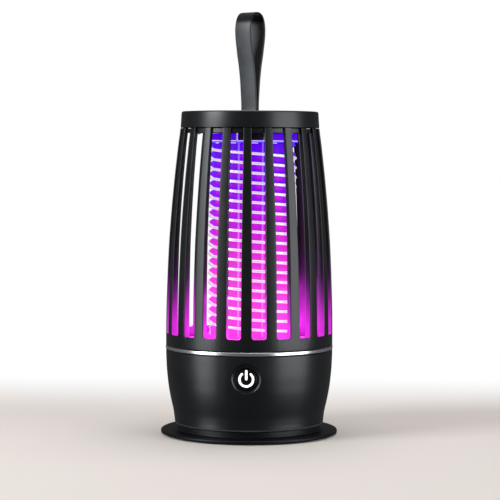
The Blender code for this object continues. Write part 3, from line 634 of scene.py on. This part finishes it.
def spread(low, high, step):
    """Even values from low up to but without high, about one step apart."""
    n = max(1, int(round((high - low) / step)))
    return [low + (high - low) * k / n for k in range(n)]


def lugs(inner, outer, z0, z1):
    """Short arc blocks at the lug angles."""
    shapes = []
    half, n = 6, 12
    for middle in LUG_ANGLES:
        first, last = middle - half, middle + half
        angles = [first + (last - first) * k / n for k in range(n + 1)]
        outline = [polar(outer, a) for a in angles] + [polar(inner, a) for a in reversed(angles)]
        shapes.append(prism(outline, z0, z1))
    return shapes


# ------------------------------------------------------------------ objects
def new_object(verts, faces, name="tool"):
    mesh = bpy.data.meshes.new(name)
    bm = bmesh.new()
    made = [bm.verts.new(v) for v in verts]
    for face in faces:
        bm.faces.new([made[i] for i in face])
    bmesh.ops.recalc_face_normals(bm, faces=bm.faces)
    bm.to_mesh(mesh)
    bm.free()
    obj = bpy.data.objects.new(name, mesh)
    bpy.context.scene.collection.objects.link(obj)
    return obj


def combine(target, shapes, operation):
    tool = new_object(*together(shapes))
    boolean = target.modifiers.new("op", "BOOLEAN")
    boolean.object = tool
    boolean.operation = operation
    boolean.solver = "EXACT"
    graph = bpy.context.evaluated_depsgraph_get()
    graph.update()
    mesh = bpy.data.meshes.new_from_object(target.evaluated_get(graph))
    target.modifiers.clear()
    target.data = mesh
    bpy.data.objects.remove(tool, do_unlink=True)


def cut(target, *shapes):
    combine(target, shapes, "DIFFERENCE")


def join(target, *shapes):
    combine(target, shapes, "UNION")


def finish(target, cad_name, looks, body, name=None, sharp=32, choose=None):
    """Turn a mm mesh into a piece in metres that rides on a body and stands for a CAD node.

    choose gives each face, still in mm, the index of its look.
    """
    mesh = target.data
    indices = [choose(face) for face in mesh.polygons] if choose else []
    mesh.transform(Matrix.Scale(MM, 4))
    mesh.name = target.name = name or cad_name + "_shown"
    mesh.materials.clear()
    for look in looks:
        mesh.materials.append(LOOKS[look])
    mesh.shade_smooth()
    mesh.set_sharp_from_angle(angle=math.radians(sharp))
    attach(target, body)
    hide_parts(cad_name)
    for face, index in zip(mesh.polygons, indices):
        face.material_index = index


def make(cad_name, shape, look, body, sharp=32):
    finish(new_object(*shape), cad_name, [look], body, sharp=sharp)


# Profiles for rounded() are rows of (radius, z, corner radius).
# ------------------------------------------------------------------ foot
def make_foot():
    profile = rounded([
        (0.0, 0.5, 0), (45.6, 0.5, 0.15), (45.6, 1.4, 0.1), (53.2, 1.4, 0.1), (53.2, 0.5, 0.15),
        (55.5, 0.5, 0.85), (55.5, 2.5, 0.85), (45.0, 2.5, 0.9), (45.0, 6.2, 0.3), (43.9, 6.2, 0),
        (43.9, 8.2, 0.3), (38.4, 8.2, 0.3), (38.4, 2.5, 0.5), (0.0, 2.5, 0),
    ], steps=6)
    foot = new_object(*lathe(profile, 180))
    # screw holes, then the wells for the screw heads
    cut(foot, *uprights(SCREW_CIRCLE_R, SCREW_ANGLES, z=(-1, 9.5), radius=1.3, segments=24))
    cut(foot, *uprights(SCREW_CIRCLE_R, SCREW_ANGLES, z=(-1, 4.0), radius=2.9, segments=32))
    finish(foot, "foot_plate", ["satin_black_foot"], "base")


def make_foot_pad():
    profile = rounded([(46.0, 0.0, 0.25), (52.9, 0.0, 0.25), (52.9, 1.1, 0.2), (46.0, 1.1, 0.2)],
                      steps=3)
    make("foot_pad", lathe(profile, 144), "black_rubber", "base")


# ------------------------------------------------------------------ housing
# local +Z points out of the front (-Y) at the button, or out of the back (+Y) at the port
FRONT = Matrix.Translation((0, 0, BUTTON_Z)) @ Matrix.Rotation(math.radians(90), 4, "X")
REAR = Matrix.Translation((0, 0, PORT_Z)) @ Matrix.Rotation(math.radians(-90), 4, "X")
WALL = 2.2


def housing_shell():
    # finer steps round the front and across the button's height, where the dish is cut
    angles = spread(-104.5, -75.5, 0.55) + spread(-75.5, 255.5, 2.4)[1:-1]
    heights = spread(9.0, 20.0, 2.0)[:-1] + spread(20.0, 45.0, 0.62) + spread(45.0, 52.0, 1.4)[1:]
    # radius, z: up the outside, over the collar, down the inside
    profile = [(46.1, 6.5), (46.4, 6.62), (46.62, 6.9), (46.78, 7.6)]
    profile += [(body_r(z), z) for z in heights]
    profile += [
        (52.38, 52.45), (52.2, 52.7), (51.95, 52.8), (48.2, 52.8), (48.2, 58.6), (48.0, 58.9),
        (47.7, 59.0), (46.5, 59.0), (46.15, 58.85), (46.0, 58.5), (46.0, 50.9), (45.6, 50.5),
        (12.0, 50.5), (12.0, 48.5),
    ]
    profile += [(body_r(z) - WALL, z) for z in (48.5, 40.1, 30.0, 19.9, 9.8)]
    profile += [(44.35, 8.4), (44.35, 6.8), (44.6, 6.5)]
    return new_object(*lathe(profile, angles))


def cut_button_dish(housing):
    """Thicken the seat, then turn the round well and the dish that flares out of the skin."""
    seat = [(0.0, 47.95), (9.6, 47.95), (9.6, 50.3), (0.0, 50.3)]
    join(housing, moved(lathe(seat, 96), FRONT))
    lip_r, lip_z = BUTTON_R + 0.6, 50.17
    flare_r, flare_z = 2.5, 2.6
    dish = [(0.0, 44.0), (BUTTON_R + 0.3, 44.0), (BUTTON_R + 0.3, 49.9),
            (BUTTON_R + 0.4, 50.08), (lip_r, lip_z)]
    for k in range(1, 13):
        a = math.radians(7.5 * k)
        dish.append((lip_r + flare_r * math.sin(a), lip_z + flare_z * (1 - math.cos(a))))
    dish += [(lip_r + flare_r, 54.0), (0.0, 54.0)]
    cut(housing, moved(lathe(dish, 128), FRONT))


def make_housing():
    housing = housing_shell()
    cut_button_dish(housing)
    # port slot and the round hole beside it, at the back
    cut(housing, moved(prism(round_rect(9.7, 4.0, 1.9), 44.0, 54.0), REAR))
    cut(housing, rod((10.5, 42.0, PORT_Z), (10.5, 55.0, PORT_Z), 1.45))
    boss = prism([(38.2, -3.6), (46.3, -3.6), (46.3, 3.6), (38.2, 3.6)], 8.6, 22.0)
    join(housing, *[moved(boss, turned_z(a)) for a in SCREW_ANGLES])
    join(housing, *lugs(inner=47.4, outer=49.7, z0=57.15, z1=58.4))
    feed_angles = [-90.0 + COLUMN_TURN + a for a in (-20.2, 14.3)]
    cut(housing,
        *uprights(SCREW_CIRCLE_R, SCREW_ANGLES, z=(8.0, 19.0), radius=1.15, segments=16),
        *uprights(25.15, feed_angles, z=(47.5, 52.0), radius=1.0, segments=16, centre=COLUMN))

    def on_lower_rim(face):
        x, y, z = face.center
        return int(6.55 < z < 7.4 and Vector((x, y)).length > 46.2)

    # the lower rim's faces take the painted highlight line
    finish(housing, "base_housing", ["satin_black_housing", "painted_rim_highlight"], "base",
           sharp=24, choose=on_lower_rim)


def make_trim_ring():
    profile = rounded([(48.5, 53.1, 0), (52.62, 53.1, 0.55), (52.62, 55.4, 0.55),
                       (48.5, 55.4, 0)], steps=6)
    make("trim_ring", lathe(profile, 216), "bright_trim", "base")


# ------------------------------------------------------------------ button and its lit sign
SIGN_CLEARANCE = 0.07   # the lit sign is this much smaller all round than its opening


def power_sign(z0, z1, gap, inset=0.0):
    """Power symbol: a ring open by gap degrees each side of its top, and an upright bar."""
    outer, inner = 4.86 - inset, 3.46 + inset
    bar_w, bar_low, bar_high = 1.5 - 2 * inset, -0.46 + inset, 5.78 - inset
    n = 41
    angles = [90 + gap + (360 - 2 * gap) * k / n for k in range(n + 1)]

    def round_end(ring_angle, first):
        centre = polar((outer + inner) / 2, ring_angle)
        return [polar((outer - inner) / 2, first + b, *centre) for b in range(20, 180, 20)]

    ring = [polar(outer, a) for a in angles]
    ring += round_end(angles[-1], angles[-1])
    ring += [polar(inner, a) for a in reversed(angles)]
    ring += round_end(angles[0], angles[0] + 180)
    middle = (bar_high + bar_low) / 2
    bar = [(x, y + middle) for x, y in round_rect(bar_w, bar_high - bar_low, bar_w / 2 - 0.01)]
    return moved(together([prism(ring, z0, z1), prism(bar, z0, z1)]), FRONT)


def make_button():
    profile = [
        (0.0, 50.0), (5.7, 50.0), (5.7, 46.7), (7.5, 46.7), (7.5, 47.6), (BUTTON_R, 47.6),
        (BUTTON_R, 50.25), (6.53, 50.5), (6.36, 50.69), (6.1, 50.8), (5.75, 50.86), (5.5, 50.9),
        (0.0, 50.9),
    ]
    button = new_object(*moved(lathe(profile, 96), FRONT))
    cut(button, power_sign(z0=49.0, z1=51.7, gap=40.0))
    finish(button, "power_button", ["satin_black_button"], "button", sharp=24)


def make_sign():
    profile = [(0.0, 47.3), (1.8, 47.3), (1.8, 48.6), (5.4, 48.6), (5.4, 49.8), (0.0, 49.8)]
    guide = new_object(*moved(lathe(profile, 64), FRONT))
    join(guide, power_sign(z0=49.3, z1=50.95, gap=40.6, inset=SIGN_CLEARANCE))
    finish(guide, "button_light_guide", ["symbol_light_guide"], "button",
           name="button_sign_shown", sharp=24)


# ------------------------------------------------------------------ cage
def slat_half(z):
    width = hermite(SLAT_WIDTH, z)
    rise = max(z - SLOT_Z0, 0.0)
    if rise < SLOT_FILLET:
        chord = math.sqrt(max(SLOT_FILLET ** 2 - (SLOT_FILLET - rise) ** 2, 0.0))
        width += 2 * (SLOT_FILLET - chord)
    return width / 2


def slat_section(outer, inner, half, corner=0.5, inner_corner=0.35):
    """Section of a slat that points along +X, with its outer face on the body's round."""
    x_corner = math.sqrt(outer * outer - (half - corner) ** 2) - corner
    y_corner = half - corner
    points = [polar(corner, -90 + 90 * k / 5, x_corner, -y_corner) for k in range(6)]
    for k in range(1, 6):
        y = -y_corner + 2 * y_corner * k / 6
        points.append((math.sqrt(outer * outer - y * y), y))
    points += [polar(corner, 90 * k / 5, x_corner, y_corner) for k in range(6)]
    for first, y in ((90, half - inner_corner), (180, -half + inner_corner)):
        points += [polar(inner_corner, first + 90 * k / 3, inner + inner_corner, y)
                   for k in range(4)]
    return points


def slat(index):
    turn = turned_z(-90.0 + 360.0 * index / SLATS)
    heights = [SLOT_Z0 - 1.4, SLOT_Z0 - 0.75, SLOT_Z0 - 0.7, SLOT_Z0]
    heights += [SLOT_Z0 + SLOT_FILLET * (1 - math.cos(math.radians(90 * k / 8)))
                for k in range(1, 9)]
    heights += spread(66.0, 188.0, 4.2) + [188.0, CAGE_Z1 - 0.3, CAGE_Z1]
    rings = []
    for z in heights:
        share = min(max((z - SLOT_Z0) / (CAGE_Z1 - SLOT_Z0), 0.0), 1.0)
        outer = body_r(z) + 0.012
        inner = body_r(z) - SLAT_DEPTH_LOW + (SLAT_DEPTH_LOW - SLAT_DEPTH_TOP) * share
        # the root is thinner, so that it stays inside the band
        if z < SLOT_Z0 - 0.72:
            outer -= 0.35
        if z < SLOT_Z0:
            inner += 1.6
        section = slat_section(outer, inner, slat_half(z))
        rings.append([tuple(turn @ Vector((x, y, z))) for x, y in section])
    return loft(rings)


def make_cage():
    band = rounded([(50.3, CAGE_Z0, 0.2), (52.45, CAGE_Z0, 0.5), (52.45, SLOT_Z0, 0.5),
                    (49.5, SLOT_Z0, 0.45), (50.3, 60.0, 0)])
    cage = new_object(*lathe(band, SLATS * 12))
    join(cage, *[slat(i) for i in range(SLATS)])
    top_plate = [(12.5, 189.6), (37.6, 189.6), (37.6, 188.7), (42.5, 188.7), (42.3, 191.25),
                 (12.5, 191.25)]
    join(cage, lathe(top_plate, SLATS * 8))
    join(cage, *lugs(inner=48.6, outer=51.0, z0=55.85, z1=56.8))
    cut(cage, *uprights(CAP_SCREW_CIRCLE_R, CAP_SCREW_ANGLES, z=(187, 193), radius=1.3,
                        segments=24))
    finish(cage, "cage", ["satin_black_cage"], "cage", sharp=26)


# ------------------------------------------------------------------ cap
def make_cap():
    profile = rounded([
        (43.8, 191.9, 0.25), (43.15, 202.2, 1.1), (10.4, 202.2, 0.7), (9.9, 195.9, 0.8),
        (0.0, 195.9, 0), (0.0, 194.1, 0), (11.8, 194.1, 0.3), (11.8, 199.3, 0.3),
        (41.0, 199.3, 0.3), (41.6, 191.9, 0.2),
    ], steps=6)
    cap = new_object(*lathe(profile, 192))
    join(cap, *uprights(CAP_SCREW_CIRCLE_R, CAP_SCREW_ANGLES, z=(191.6, 200.4), radius=3.0,
                        segments=24))
    pin_half = PIN_DIR * 10.9
    pin_centre = Vector((0, 0, PIN_Z))
    cut(cap,
        *uprights(CAP_SCREW_CIRCLE_R, CAP_SCREW_ANGLES, z=(190.0, 198.6), radius=1.1,
                  segments=24),
        rod(pin_centre - pin_half, pin_centre + pin_half, PIN_R + 0.06))
    finish(cap, "top_cap", ["satin_black_plastic"], "cage", sharp=26)


# ------------------------------------------------------------------ strap
def strap_path():
    """Closed middle line of the band as (distance across, z): round the pin and up to the crown."""
    eye_r = PIN_R + 0.12 + STRAP_T / 2
    half = [polar(eye_r, -90 + 118 * k / 12, 0.0, PIN_Z) for k in range(13)]
    half.append((1.15, 201.75))
    half += [(hermite(STRAP_SIDE, z) - STRAP_T / 2, z) for z in spread(203.2, CROWN_Z, 2.0)]
    power = 2 / 2.4     # the crown is a slightly squared ellipse
    for k in range(17):
        a = math.radians(90 * k / 16)
        half.append(((CROWN_HALF - STRAP_T / 2) * max(math.cos(a), 0.0) ** power,
                     CROWN_Z + (STRAP_TOP - STRAP_T / 2 - CROWN_Z) * math.sin(a) ** power))
    half = [Vector(p) for p in half]
    return half + [Vector((-p.x, p.y)) for p in reversed(half) if abs(p.x) > 1e-4]


def make_strap():
    """One closed band, swept along its middle line."""
    w, t = STRAP_W / 2, STRAP_T / 2
    edge = 0.42
    section = rounded([(-w, -t, edge), (w, -t, edge), (w, t, edge), (-w, t, edge)], steps=4)
    path = strap_path()
    rings = []
    for i, middle in enumerate(path):
        along = (path[(i + 1) % len(path)] - path[i - 1]).normalized()
        normal = Vector((along.y, -along.x))
        ring = []
        for wide, thick in section:
            # the faces crown very slightly across the width
            place = middle + normal * (thick * (1.0 - 0.10 * (abs(wide) / w) ** 3))
            level = PIN_DIR * wide + STRAP_ACROSS * place.x
            ring.append((level.x, level.y, place.y))
        rings.append(ring)
    make("carry_strap", loft(rings, closed=True), "strap_soft_black", "strap", sharp=50)


# ------------------------------------------------------------------ grid frame
def comb(deg):
    """Upright toothed plate with a notch for every wire row."""
    heights = (wire_height(deg, row) for row in range(-3, WIRE_ROWS + 3))
    rows = sorted(z for z in heights if FRAME_LOW_TOP + 1.0 < z - 0.3 and z + 1.0 < FRAME_UP0)
    foot_z, head_z, shoulder_r = FRAME_LOW_TOP - 1.2, FRAME_UP1 - 0.5, 28.0
    tooth_reach = WIRE_PITCH / 2.0
    teeth = []
    for i, z in enumerate(rows):
        low = max(z - tooth_reach + 0.35, FRAME_LOW_TOP + 0.25)
        high = min(z + tooth_reach - 0.35, FRAME_UP0 - 0.25)
        if i == 0:
            teeth.append((COMB_TIP_R - 0.9, low - 0.15))
        teeth += [(COMB_TIP_R, low), (COMB_NOTCH_R, z), (COMB_TIP_R, high)]
    teeth += [(shoulder_r, FRAME_UP0 - 0.05), (shoulder_r, head_z)]
    outline = [(COMB_INNER_R, foot_z, 0.0), (shoulder_r, foot_z, 0.0)]
    for r, z in teeth:
        if z >= outline[-1][1] + 0.02:
            outline.append((r, z, 0.18))
    outline.append((COMB_INNER_R, head_z, 0.0))
    shape = prism(rounded(outline, steps=2), -COMB_T / 2, COMB_T / 2)
    stand_up = Matrix(((1, 0, 0, 0), (0, 0, 1, 0), (0, 1, 0, 0), (0, 0, 0, 1)))
    return moved(shape, Matrix.Translation((*COLUMN, 0)) @ turned_z(deg) @ stand_up)


GRID_LOOKS = ["clear_comb_plastic", "clear_comb_edge", "lamp_diffuser_violet",
              "clear_comb_hoop", "clear_comb_tooth_edge"]


def grid_look(face):
    centre = face.center
    if centre.z > FRAME_UP0 - 0.1:
        return GRID_LOOKS.index("clear_comb_hoop")
    # the frame's lower ring takes the lit tube's look: painted lamp light
    if centre.z < FRAME_LOW_TOP + 0.3:
        return GRID_LOOKS.index("lamp_diffuser_violet")
    radial = Vector((centre.x - COLUMN[0], centre.y - COLUMN[1], 0)).normalized()
    around = Vector((-radial.y, radial.x, 0))
    if abs(face.normal.dot(around)) >= 0.75:
        return GRID_LOOKS.index("clear_comb_plastic")
    turn = math.radians(COLUMN_TURN)
    to_front = Vector((math.sin(turn), -math.cos(turn), 0))
    side_on = abs(radial.dot(to_front)) < 0.75
    return GRID_LOOKS.index("clear_comb_tooth_edge" if side_on else "clear_comb_edge")


def make_grid_frame():
    lower = rounded([(26.1, FRAME_Z0, 0), (29.6, FRAME_Z0, 0.2), (29.6, 52.8, 0.2),
                     (28.5, 53.0, 0.2), (28.5, FRAME_LOW_TOP, 0.4), (26.1, FRAME_LOW_TOP, 0.2)],
                    steps=3)
    upper = rounded([(26.1, FRAME_UP0, 0.2), (28.6, FRAME_UP0, 0.3), (28.6, FRAME_UP1, 0.3),
                     (26.1, FRAME_UP1, 0.2)], steps=3)
    grid = new_object(*lathe(lower, 120, *COLUMN))
    join(grid, *[comb(a) for a in POST_ANGLES])
    join(grid, lathe(upper, 120, *COLUMN))
    finish(grid, "grid_frame", GRID_LOOKS, "base", sharp=30, choose=grid_look)


# ------------------------------------------------------------------ wires, lamp, tray
def make_wire(cad_name, row, start, sweep, step=5.0, sides=12):
    """Round wire wound down the column through sweep degrees, narrowed at both ends."""
    rings = []
    count = int(round(sweep / step))
    for k in range(count + 1):
        deg = start + k * step
        a = math.radians(deg)
        radial = Vector((math.cos(a), math.sin(a), 0))
        along = Vector((-math.sin(a) * WIRE_COIL_R, math.cos(a) * WIRE_COIL_R,
                        -WIRE_LEAD / (2 * math.pi))).normalized()
        up = radial.cross(along)
        centre = Vector((*COLUMN, wire_height(deg, row))) + radial * WIRE_COIL_R
        r = WIRE_R * (0.55 if k in (0, count) else 1.0)
        angles = [2 * math.pi * q / sides for q in range(sides)]
        rings.append([tuple(centre + radial * r * math.cos(b) + up * r * math.sin(b))
                      for b in angles])
    make(cad_name, loft(rings), "grid_steel_wire", "base", sharp=60)


def make_lamp():
    inner = LAMP_R - LAMP_WALL
    heights = spread(54.0, 181.0, 8.0)
    edge = 0.2      # chamfer at both outer ends
    profile = [(inner, LAMP_Z0), (LAMP_R - edge, LAMP_Z0), (LAMP_R, LAMP_Z0 + edge)]
    profile += [(LAMP_R, z) for z in heights]
    profile += [(LAMP_R, LAMP_Z1 - edge), (LAMP_R - edge, LAMP_Z1), (inner, LAMP_Z1)]
    profile += [(inner, z) for z in reversed(heights)]
    make("lamp_diffuser", lathe(profile, 128, *COLUMN), "lamp_diffuser_violet", "base")


def make_tray():
    profile = rounded([
        (31.9, 50.9, 0.3), (45.6, 50.9, 0.8), (45.6, 57.6, 0.5), (44.4, 57.6, 0.5),
        (44.4, 52.1, 1.6), (33.1, 52.1, 1.6), (33.1, 56.0, 0.5), (31.9, 56.0, 0.5),
    ])
    make("insect_tray", lathe(profile, 180), "tray_plastic", "tray")


def make_upper_light_ring():
    profile = rounded([(26.3, 184.2, 0.2), (28.2, 184.2, 0.2), (28.2, 188.2, 0.2),
                       (26.3, 188.2, 0.2)], steps=3)
    make("upper_light_ring", lathe(profile, 128, *COLUMN), "lamp_diffuser_violet", "base")


# ------------------------------------------------------------------ floor, world, lights, camera
def make_floor():
    """Pale floor that fades to pure white behind and far out, and is darker to bounced light."""
    t = Look("pale_floor")
    soft = t.noise(scale=6.0)
    seen = t.node("ShaderNodeLightPath").outputs["Is Camera Ray"]
    x, y, _ = t.axes()
    bounced, dark, pale = (0.10, 0.09, 0.085), (0.72, 0.66, 0.61), (0.76, 0.70, 0.65)
    matt = t.surface(Roughness=0.6, Base_Color=t.blend(seen, bounced, t.blend(soft, dark, pale)),
                     Specular_IOR_Level=0.15)
    white = t.node("ShaderNodeEmission", Color=(1.0, 1.0, 1.0), Strength=1.0)
    reach = t.math("SQRT", t.math("ADD", t.product(x, x), t.product(y, y)))
    far = t.math("MAXIMUM", t.span(y, start=0.075, end=0.30), t.span(reach, start=0.27, end=0.62))
    mix = t.node("ShaderNodeMixShader")
    for index, value in enumerate((t.product(far, seen), matt.outputs[0], white.outputs[0])):
        t.put(mix, index, value)
    t.done(mix)
    z = -0.0002
    floor = new_object([(-6, -3, z), (6, -3, z), (6, 9, z), (-6, 9, z)], [(0, 1, 2, 3)], "floor")
    floor.data.materials.append(LOOKS["pale_floor"])
    # the low parts of the tall strip lights stand under the floor
    floor.visible_glossy = False
    floor.visible_shadow = False


def make_world():
    """White to the camera, a weak cool fill to everything else."""
    world = bpy.data.worlds.new("studio")
    bpy.context.scene.world = world
    world.use_nodes = True
    nodes, links = world.node_tree.nodes, world.node_tree.links
    nodes.clear()
    output = nodes.new("ShaderNodeOutputWorld")
    seen = nodes.new("ShaderNodeBackground")
    fill = nodes.new("ShaderNodeBackground")
    mix = nodes.new("ShaderNodeMixShader")
    rays = nodes.new("ShaderNodeLightPath")
    for background, colour, strength in ((seen, (1, 1, 1, 1), 1.0),
                                         (fill, (0.95, 0.97, 1.0, 1), 0.10)):
        background.inputs["Color"].default_value = colour
        background.inputs["Strength"].default_value = strength
    links.new(rays.outputs["Is Camera Ray"], mix.inputs[0])
    links.new(fill.outputs[0], mix.inputs[1])
    links.new(seen.outputs[0], mix.inputs[2])
    links.new(mix.outputs[0], output.inputs[0])


def place(name, data, location):
    obj = bpy.data.objects.new(name, data)
    obj.location = location
    bpy.context.scene.collection.objects.link(obj)
    return obj


def area(name, location, look, size, power, colour=(1, 1, 1)):
    data = bpy.data.lights.new(name, "AREA")
    data.shape = "RECTANGLE"
    data.size, data.size_y = size
    data.energy = power
    data.color = colour
    light = place(name, data, location)
    aim = Vector(look) - Vector(location)
    light.rotation_euler = aim.to_track_quat("-Z", "Y").to_euler()


def beside(angle, z, distance=1.1):
    """Place at this angle to the right of the camera, seen from the zapper."""
    return (*polar(distance, -90 + CAMERA_TURN + angle), z)


def make_lights():
    area("strip_left", beside(-62.5, z=0.20), look=(0, 0, 0.20), size=(0.54, 1.10), power=7.9,
         colour=(0.92, 0.97, 1.0))
    area("strip_left_high", beside(-62.5, z=0.68), look=(0, 0, 0.3), size=(0.50, 0.46),
         power=6.6, colour=(0.94, 0.97, 1.0))
    area("strip_right", beside(61, z=0.22), look=(0, 0, 0.22), size=(0.92, 1.06), power=10.8,
         colour=(0.92, 0.96, 1.0))
    area("top_soft", (0.1, 0.3, 2.2), look=(0, 0.0, 0), size=(1.6, 1.6), power=34.0)
    # two rings of small magenta lights between the column and the cage: height, power, colour
    levels = ((0.064, 0.012, (1.0, 0.03, 0.78)), (0.085, 0.006, (0.9, 0.03, 0.85)))
    for i in range(6):
        x, y = polar(37.0, 60 * i + 20)
        for z, power, colour in levels:
            data = bpy.data.lights.new("glow", "POINT")
            data.energy = power
            data.color = colour
            data.shadow_soft_size = 0.004
            place("glow", data, (x * MM, y * MM, z))


def make_camera():
    data = bpy.data.cameras.new("camera")
    data.sensor_width = 36.0
    data.lens = 136.8
    data.shift_y = -0.2
    data.shift_x = 0.0002
    data.clip_start = 0.05
    data.clip_end = 50
    turn, distance, height, roll = math.radians(CAMERA_TURN), 1.2, 0.178, -0.2
    camera = place("camera", data, (distance * math.sin(turn), -distance * math.cos(turn), height))
    camera.rotation_euler = (math.radians(90), math.radians(roll), turn)
    scene = bpy.context.scene
    scene.camera = camera
    scene.view_settings.view_transform = "Standard"
    scene.view_settings.look = "None"


# ------------------------------------------------------------------ build
make_materials()
dress_cad_pieces()
make_foot()
make_foot_pad()
make_housing()
make_trim_ring()
make_button()
make_sign()
make_cage()
make_cap()
make_strap()
make_grid_frame()
make_wire("grid_wire_live", row=0, start=POST_ANGLES[0], sweep=9 * 360 + 140)
make_wire("grid_wire_return", row=1, start=POST_ANGLES[0] - 90, sweep=8 * 360 + 220)
make_lamp()
make_tray()
make_upper_light_ring()
make_floor()
make_world()
make_lights()
make_camera()
